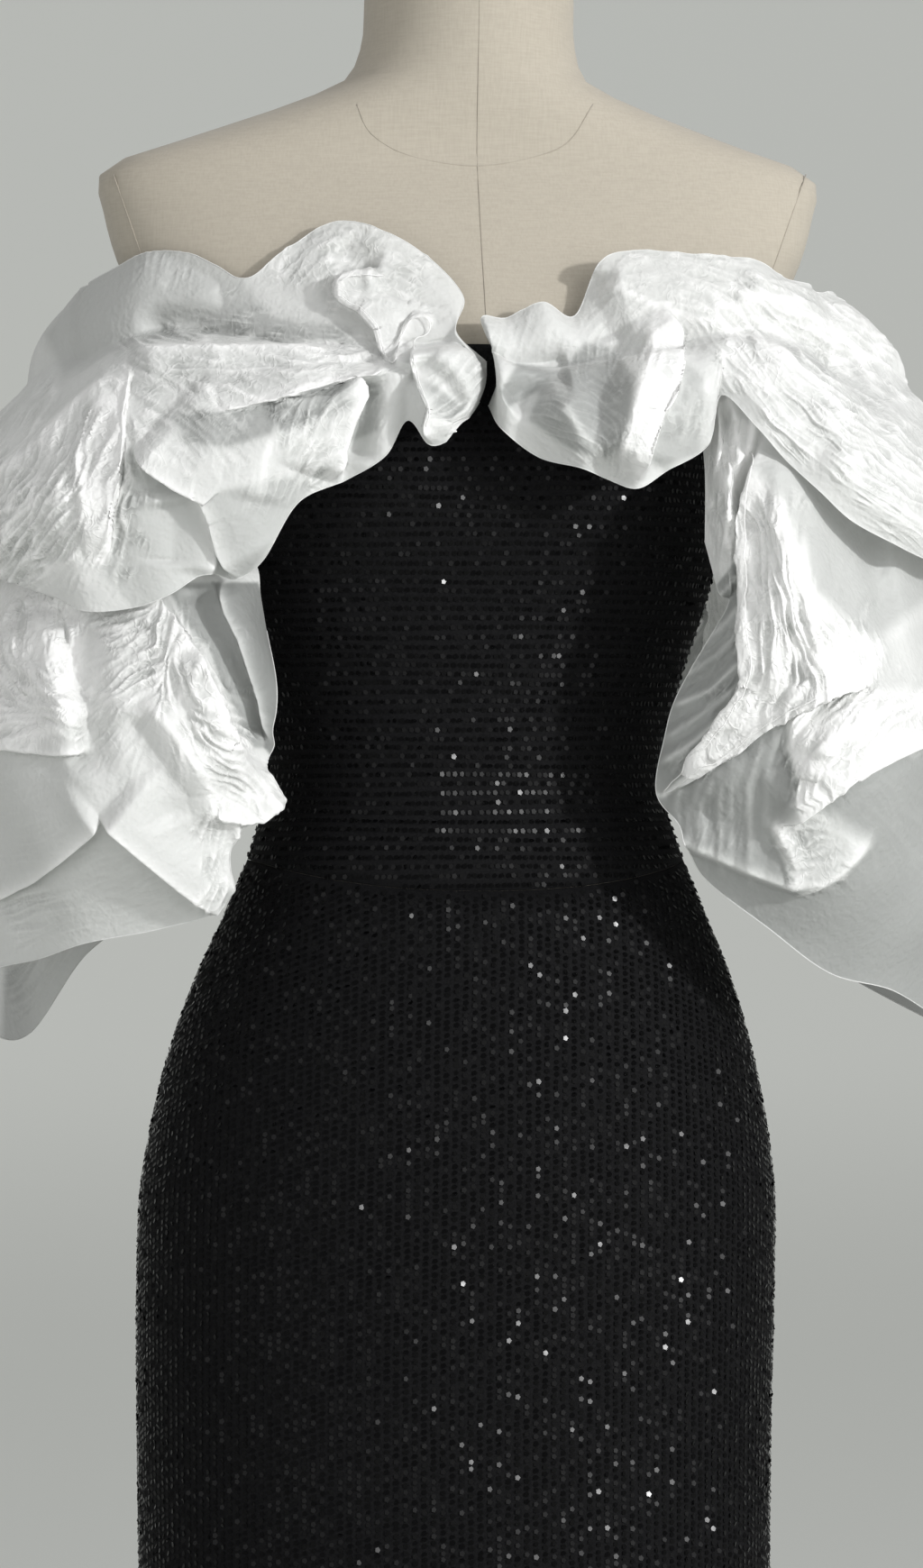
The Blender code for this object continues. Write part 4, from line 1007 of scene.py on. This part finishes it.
def foldLines(table, kind):
    # every fold line as points in space, in front and then turned over to the back
    shares, seated = np.array(kind["shares"]), kind["seated"]
    lift = sleeve["clothEase"] + sleeve["sequinWall"] + kind["rest"]
    places = np.array([row[:len(shares)] for row in table], float) * mm
    folds = np.array([row[len(shares)] for row in table], float) * mm * sleeve["foldShare"]
    drops = np.array([row[-1] if len(row) > len(shares) + 1 else 0 for row in table], float) * mm
    front = seen(places[..., 0], places[..., 1], places[..., 2])
    front += outwardOf(front) * (folds[:, None] * shares - kind["tuck"] * (1 - shares))[..., None]
    for number in range(seated):
        front[0, number] = onFront(*places[0, number, :2], lift)[0]
    count = len(table) - 1
    index = np.arange(count - 1, -1, -1)
    back = front[index].copy()
    back[..., 1] = 2 * front[-1, :, 1] * ((index / count) ** 2)[:, None] - back[..., 1]
    back -= outwardOf(back) * (2 * folds[index, None] * shares)[..., None]
    back[..., 2] -= drops[index, None] * shares**2
    if seated == 1 and front[-1, 0, 0] > 0:       # from the front, its back edges are out of sight
        back[..., 0] += sleeve["backSpread"] * (1 - (index / count) ** 3)[:, None]
    for number in range(seated):
        x, z = front[0, number, 0], front[0, number, 2]
        back[-1, number] = (x, depthAt(x, z, False)[0] + lift, z)
    drawn = np.concatenate([places[..., :2], places[index][..., :2]])
    return np.concatenate([front, back]), drawn, count


def nearestOn(line, drawn, raised="above"):
    # distance to the raised side of a line, how far a crease on it has faded in, and the way to
    # that side, at each drawn place
    line = np.array(line, float) * mm
    whole = line[-1] - line[0]
    sides = {"left": (-1, 0), "right": (1, 0), "above": (0, 1), "below": (0, -1)}
    side = 1 if np.dot((-whole[1], whole[0]), sides[raised]) > 0 else -1
    lengths = np.linalg.norm(np.diff(line, axis=0), axis=1)
    starts = np.r_[0, np.cumsum(lengths)]
    best = np.full(len(drawn), np.inf)
    signed, along = np.zeros(len(drawn)), np.zeros(len(drawn))
    ahead = np.zeros((len(drawn), 2))
    for number, length in enumerate(lengths):
        way = (line[number + 1] - line[number]) / length
        rel = drawn - line[number]
        t = np.clip(rel @ way, 0, length)
        distance = np.linalg.norm(rel - t[:, None] * way, axis=1)
        near = distance < best
        across = np.array([-way[1], way[0]]) * side
        best = np.where(near, distance, best)
        signed = np.where(near, distance * np.sign(rel @ across), signed)
        along = np.where(near, (starts[number] + t) / starts[-1], along)
        ahead = np.where(near[:, None], across, ahead)
    return signed, smoothStep(np.minimum(along, 1 - along) / crease["taper"]), ahead


def creaseRelief(piece, drawn):
    # (rise, sideways shift, closeness to a crest) at each drawn place; the closeness to a crest is later
    # painted into the colour as a highlight
    rise, crestAndPaintedLight = np.zeros(len(drawn)), np.zeros(len(drawn))
    raisedTo, sunkTo = np.zeros(len(drawn)), np.zeros(len(drawn))
    shift = np.zeros((len(drawn), 2))
    for raised, most, sharp, soft, line in piece["steps"]:
        most, sharp, soft = most * mm, sharp * mm, soft * mm
        signed, taper, ahead = nearestOn(line, drawn, raised)
        slope = np.clip(1 - np.maximum(signed, 0) / soft, 0, 1)
        step = smoothStep((signed + sharp) / (2 * sharp))
        hollow = np.clip(1 + (signed + sharp) / (crease["hollowReach"] * sharp), 0, 1) * (signed < -sharp)
        raisedTo = np.maximum(raisedTo, taper * most * step * slope)
        sunkTo = np.maximum(sunkTo, taper * most * crease["hollow"] * hollow)
        lip = np.exp(-((signed - crease["lipAt"] * sharp) / (crease["lipWidth"] * sharp)) ** 2)
        push = -(taper * crease["lip"] * most * lip)[:, None] * ahead
        shift = np.where(np.abs(push) > np.abs(shift), push, shift)
        # painted highlight just on the raised side of the step
        near = np.exp(-((signed - sharp) / (crease["stepHighlightWidth"] * sharp)) ** 2)
        crestAndPaintedLight = np.maximum(crestAndPaintedLight, taper * near)
    for most, sharp, soft, line in piece["creases"]:
        most, sharp, soft = most * mm, sharp * mm, soft * mm
        signed, taper, _ = nearestOn(line, drawn)
        rise += taper * most * np.clip(1 - (np.hypot(signed, sharp) - sharp) / soft, 0, 1)
        # painted highlight along the fold, stronger for higher folds
        near = np.exp(-(signed / (crease["foldHighlightWidth"] * sharp)) ** 2)
        crestAndPaintedLight = np.maximum(crestAndPaintedLight, most / crease["fullRise"] * taper * near)
    for most, soft, line in piece["swells"]:
        signed, taper, _ = nearestOn(line, drawn)
        rise += taper * most * mm * np.exp(-(signed / (soft * mm)) ** 2)
    return rise + raisedTo - sunkTo, shift, crestAndPaintedLight


def gridNormals(grid):
    normal = np.cross(np.gradient(grid, axis=1), np.gradient(grid, axis=0))
    normal /= np.linalg.norm(normal, axis=-1, keepdims=True) + 1e-12
    return normal * (np.sign(np.sum(normal * outwardOf(grid))) or 1)


def flowAt(flows, x, y, seed):
    # (way across, way up, strength) of the crushed ridges, on a net of squares over the piece
    size = crinkle["raggedSize"]
    ragged = 1 + crinkle["ragged"] * fieldNoise(x / size, y / size, seed + 1)
    double, strength = np.zeros(x.shape + (2,)), np.zeros(x.shape)
    weights = np.full(x.shape, crinkle["least"])
    for across, up, radius, turn, most in flows:
        away = np.hypot(x - across, y - up) * ragged / radius
        weight = np.exp(-crinkle["spread"] * away ** 2) + 1e-5
        turn = math.radians(turn)
        double += weight[..., None] * (math.cos(2 * turn), math.sin(2 * turn))
        strength += weight * most
        weights += weight
    size = crinkle["wanderSize"]
    turn = 0.5 * np.arctan2(double[..., 1], double[..., 0])
    turn += crinkle["wander"] * fieldNoise(x / size, y / size, seed + 3)
    return np.stack([np.cos(turn), np.sin(turn), strength / np.maximum(weights, crinkle["full"])], -1)


def crinkleRelief(flows, drawn, seed):
    # crushed ridges: a fine noise smeared along the flow, so that each ridge runs on and forks
    x, y = drawn[:, 0] / mm, drawn[:, 1] / mm
    cell, margin, stride = crinkle["net"], crinkle["margin"], crinkle["step"]
    left, right, low, high = x.min() - margin, x.max() + margin, y.min() - margin, y.max() + margin
    netX, netY = np.meshgrid(np.arange(left, right, cell), np.arange(low, high, cell))
    net = flowAt(flows, netX, netY, seed)

    def wayAt(px, py):
        column = np.clip(np.rint((px - left) / cell).astype(int), 0, net.shape[1] - 1)
        row = np.clip(np.rint((py - low) / cell).astype(int), 0, net.shape[0] - 1)
        return net[row, column]

    def smeared(width, reach, number):
        total = fieldNoise(x / width, y / width, number)
        for sense in (1, -1):
            px, py = x.copy(), y.copy()
            way = wayAt(px, py)[:, :2] * sense
            for step in range(1, int(reach / stride) + 1):
                px, py = px + way[:, 0] * stride, py + way[:, 1] * stride
                fade = 0.5 + 0.5 * math.cos(math.pi * step * stride / (reach + 1))
                total += fade * fieldNoise(px / width, py / width, number)
                ahead = wayAt(px, py)[:, :2]
                same = np.where((ahead * way).sum(axis=1) < 0, -1, 1)
                way = ahead * same[:, None]
        return total * crinkle["even"] / total.std()

    # each ridge's crest makes the relief and also a painted highlight; the shade amount paints the cloth
    # between the crests darker
    height, shine = 0, 0
    for ridge in (crinkle["wide"], crinkle["narrow"]):
        smear = smeared(ridge["width"], ridge["reach"], seed + ridge["seed"])
        crestAndPaintedLight = np.clip(1 - ridge["sharp"] * np.abs(smear), ridge["floor"], 1)
        height = height + ridge["share"] * crestAndPaintedLight
        shine = shine + ridge["shine"] * np.clip(crestAndPaintedLight, 0, 1) ** 1.5
    size = crinkle["patchSize"]
    patches = 0.85 + crinkle["patchy"] * fieldNoise(x / size, y / size, seed + 5)
    strength = wayAt(x, y)[:, 2] * np.clip(patches, 0.25, 1.3)
    shine = strength * (shine - crinkle["shade"]) * crinkle["shine"]
    return strength * height * crinkle["rise"], shine, strength


def keptOff(grid):
    # the cloth moved out of the figure where it would run into it
    flat = grid.reshape(-1, 3)
    halfWidth, _, _, _, lean = sectionAt(flat[:, 2])
    inFront = flat[:, 1] < 0
    reach = depthAt(flat[:, 0], flat[:, 2], inFront) + sleeve["clearance"]
    inside = (np.abs(flat[:, 0] - lean) < halfWidth) & (np.abs(flat[:, 1]) < reach)
    flat[:, 1] = np.where(inside, np.where(inFront, -reach, reach), flat[:, 1])
    return flat.reshape(grid.shape)


def toneAt(tones, drawn):
    # painted light and shade, partly also the number of layers: how much whiter or greyer each place is,
    # with soft borders round the patches
    tone = np.zeros(len(drawn))
    for amount, blur, corners in tones:
        corners = np.array(corners, float) * mm
        inside, nearest = np.zeros(len(drawn), bool), np.full(len(drawn), np.inf)
        for start, end in zip(corners, np.roll(corners, -1, axis=0)):
            way = end - start
            rel = drawn - start
            t = np.clip(rel @ way / (way @ way), 0, 1)
            nearest = np.minimum(nearest, np.linalg.norm(rel - t[:, None] * way, axis=1))
            crosses = (start[1] > drawn[:, 1]) != (end[1] > drawn[:, 1])
            inside ^= crosses & (rel[:, 0] < way[0] * rel[:, 1] / (way[1] or 1e-9))
        signed = np.where(inside, nearest, -nearest)
        tone += amount * smoothStep(0.5 + signed / (blur * mm))
    return tone


def tracedOn(points, edge):
    # a line seen from the front, laid on the nearest layer of the cloth
    edge = np.array(edge, float) * mm
    steps = np.r_[0, np.cumsum(np.linalg.norm(np.diff(edge, axis=0), axis=1))]
    wanted = smoothThrough(edge, steps, np.linspace(0, steps[-1], int(steps[-1] / sleeve["edgeStep"])))
    flat = seenAt(points)
    reach = np.linalg.norm(points - eyePoint, axis=1)
    line = []
    for place in wanted:
        aside = np.linalg.norm(flat - place, axis=1)
        close = np.flatnonzero(aside < max(sleeve["edgeReach"], aside.min() * 1.01))
        line.append(points[close[np.argmin(reach[close])]])
    line = np.array(line)
    for _ in range(3):
        line[1:-1] = (line[:-2] + 2 * line[1:-1] + line[2:]) / 4
    return line + sleeve["edgeLift"] * (eyePoint - line) / eye["away"]


def sleevePiece(name, node, piece, kind, seed, organza):
    lines, drawn, last = foldLines(piece["folds"], kind)
    inFront = last * kind["columns"]
    columns = np.r_[np.linspace(0, last, inFront + 1),
                    np.linspace(last, len(lines) - 1, last * sleeve["backColumns"] + 1)[1:]]
    lines = smoothThrough(lines, np.arange(len(lines)), columns)
    drawn = smoothThrough(drawn, np.arange(len(drawn)), columns)
    along = np.concatenate([np.linspace(i, i + 1, count, endpoint=False)
                            for i, count in enumerate(kind["spans"])] + [[len(kind["spans"])]])
    places = np.arange(len(kind["shares"]))
    grid = smoothThrough(np.swapaxes(lines, 0, 1), places, along)
    drawn = smoothThrough(np.swapaxes(drawn, 0, 1), places, along)
    # the heading swells out above the seam
    index = np.arange(len(columns))
    ends = smoothStep(np.minimum(index, len(columns) - 1 - index) / sleeve["endFade"])
    swell = np.where(along < 1, np.sin(math.pi * along), 0) * kind["puff"]
    grid += swell[:, None, None] * outwardOf(lines[:, -2]) * ends[:, None]
    # creases, where the picture shows them, and the same ones carried round to the back
    ahead = (index <= inFront)[:, None]
    drawn = np.where(ahead, seenAt(grid), drawn).reshape(-1, 2)
    rise, shift, crestAndPaintedLight = creaseRelief(piece, drawn)
    side = smoothStep(np.abs(index - inFront) / sleeve["sideFade"]) * ends
    towards = np.where(ahead, eyePoint, eyePoint * (1, -1, 1)) - grid
    towards /= np.linalg.norm(towards, axis=-1, keepdims=True)
    sideways = np.stack([shift[:, 0] * turnX, shift[:, 0] * turnY, shift[:, 1]], -1).reshape(grid.shape)
    grid += (towards * rise.reshape(grid.shape[:2])[..., None] + sideways) * side[:, None]
    ridges, shine, crushed = crinkleRelief(piece["flows"], drawn, seed)
    grid += gridNormals(grid) * (ridges.reshape(grid.shape[:2]) * ends)[..., None]
    inner = slice(sleeve["free"], -sleeve["free"])
    grid[:, inner] = keptOff(grid[:, inner])
    # painted light and shade for the colour: highlights along the creases and crushed ridges, the tone
    # patches, and a lift over the whole piece
    crestAndPaintedLight = crease["creaseHighlightShare"] * crestAndPaintedLight + shine + toneAt(piece["tones"], drawn) + piece["base"]
    cloth = newPiece(name, grid.reshape(-1, 3), gridFaces(*grid.shape[:2]), organza)
    for layer, amounts in (("crestAndPaintedLight", crestAndPaintedLight), ("crushed", crushed)):
        cloth.data.attributes.new(layer, "FLOAT", "POINT").data.foreach_set("value", amounts)
    # narrow hems along both borders, and the pressed edges with a painted highlight along them
    layers = grid[:, :inFront + 1].reshape(-1, 3)
    border = [grid[0], grid[-1]] + [tracedOn(layers, edge) for edge in piece["edges"]]
    hem = tubes(name + "Hem", border, sleeve["hemRadius"], organza, 4)
    plain = 4 * (len(grid[0]) + len(grid[-1]))
    bright = len(hem.data.vertices) - plain
    hem.data.attributes.new("crestAndPaintedLight", "FLOAT", "POINT").data.foreach_set(
        "value", [sleeve["hemTone"]] * plain + [sleeve["edgeHighlightTone"]] * bright)
    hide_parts(node)
    for part in (cloth, hem):
        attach(part, "root")
    print(name, "area", round(clothArea(cloth), 4), "triangles", 2 * len(cloth.data.polygons))


def addSleeves():
    organza = organzaMaterial()
    sleevePiece("rightSleeveRuffle", "right_sleeve_ruffle", rightRuffle, ruffle, 11, organza)
    sleevePiece("rightSleeveFlounce", "right_sleeve_flounce", rightFlounce, flounce, 61, organza)
    sleevePiece("leftSleeveRuffle", "left_sleeve_ruffle", leftRuffle, ruffle, 23, organza)
    sleevePiece("leftSleeveFlounce", "left_sleeve_flounce", leftFlounce, flounce, 73, organza)
    print("sleeves done")


# studio

studio = {
    "floorBehind": 5.4, "bend": 3.4, "bendSteps": 16, "floorAhead": 12, "half": 14, "tall": 9,
    "glow": 0.3, "horizon": 0.5, "mottle": 0.06, "aim": (0, 0, 1.15), "world": 0.4,
    "wallGrey": (0.6, 0.613, 0.587, 1), "floorGrey": (0.505, 0.516, 0.494, 1),
}
lights = {
    "key": {"place": (2.0, -2.6, 1.8), "size": 3.0, "power": 50},
    "sparkle": {"place": (1.85, -2.05, 1.75), "size": 0.18, "power": 46},
    "fill": {"place": (-2.1, -2.6, 1.3), "size": 2.6, "power": 26},
    "top": {"place": (0.5, 0.2, 3.2), "size": 1.4, "power": 6},
}


def addBackdrop():
    # floor that bends up into the wall
    paper = Shader("paper", Roughness=0.9, Emission_Strength=studio["glow"])
    height = paper.node("ShaderNodeSeparateXYZ", sockets={0: paper.place()})("Z")
    mottle = paper.noise(paper.place(), 1.5, 2) - 0.5
    tone = paper.level(height, 0, studio["horizon"]) + mottle * studio["mottle"]
    shade = paper.ramp(tone, [(0.0, studio["floorGrey"]), (1.0, studio["wallGrey"])])
    paper.set("Base Color", shade)
    paper.set("Emission Color", shade)
    half, bend, steps = studio["half"], studio["bend"], studio["bendSteps"]
    profile = [(-studio["floorAhead"], 0.0)]
    for step in range(steps + 1):
        turn = math.pi / 2 * step / steps
        profile.append((studio["floorBehind"] + bend * math.sin(turn), bend - bend * math.cos(turn)))
    profile.append((studio["floorBehind"] + bend, studio["tall"]))
    points = [(x, y, z) for y, z in profile for x in (-half, half)]
    faces = [(2 * i, 2 * i + 1, 2 * i + 3, 2 * i + 2) for i in range(len(profile) - 1)]
    newPiece("studioSweep", points, faces, paper.material)


def addStudio():
    addBackdrop()
    for name, lamp in lights.items():
        data = bpy.data.lights.new(name, "AREA")
        data.energy, data.size, data.shape = lamp["power"], lamp["size"], "DISK"
        light = bpy.data.objects.new(name, data)
        light.location = lamp["place"]
        aim = Vector(studio["aim"]) - light.location
        light.rotation_euler = aim.to_track_quat("-Z", "Y").to_euler()
        bpy.context.scene.collection.objects.link(light)
    world = bpy.data.worlds.new("studio")
    world.use_nodes = True
    background = world.node_tree.nodes["Background"].inputs
    background["Color"].default_value = (1, 1, 1, 1)
    background["Strength"].default_value = studio["world"]
    bpy.context.scene.world = world
    bpy.context.scene.view_settings.view_transform = "Standard"
    print("studio done")


addCamera()
addForm()
addDress()
addSleeves()
addStudio()
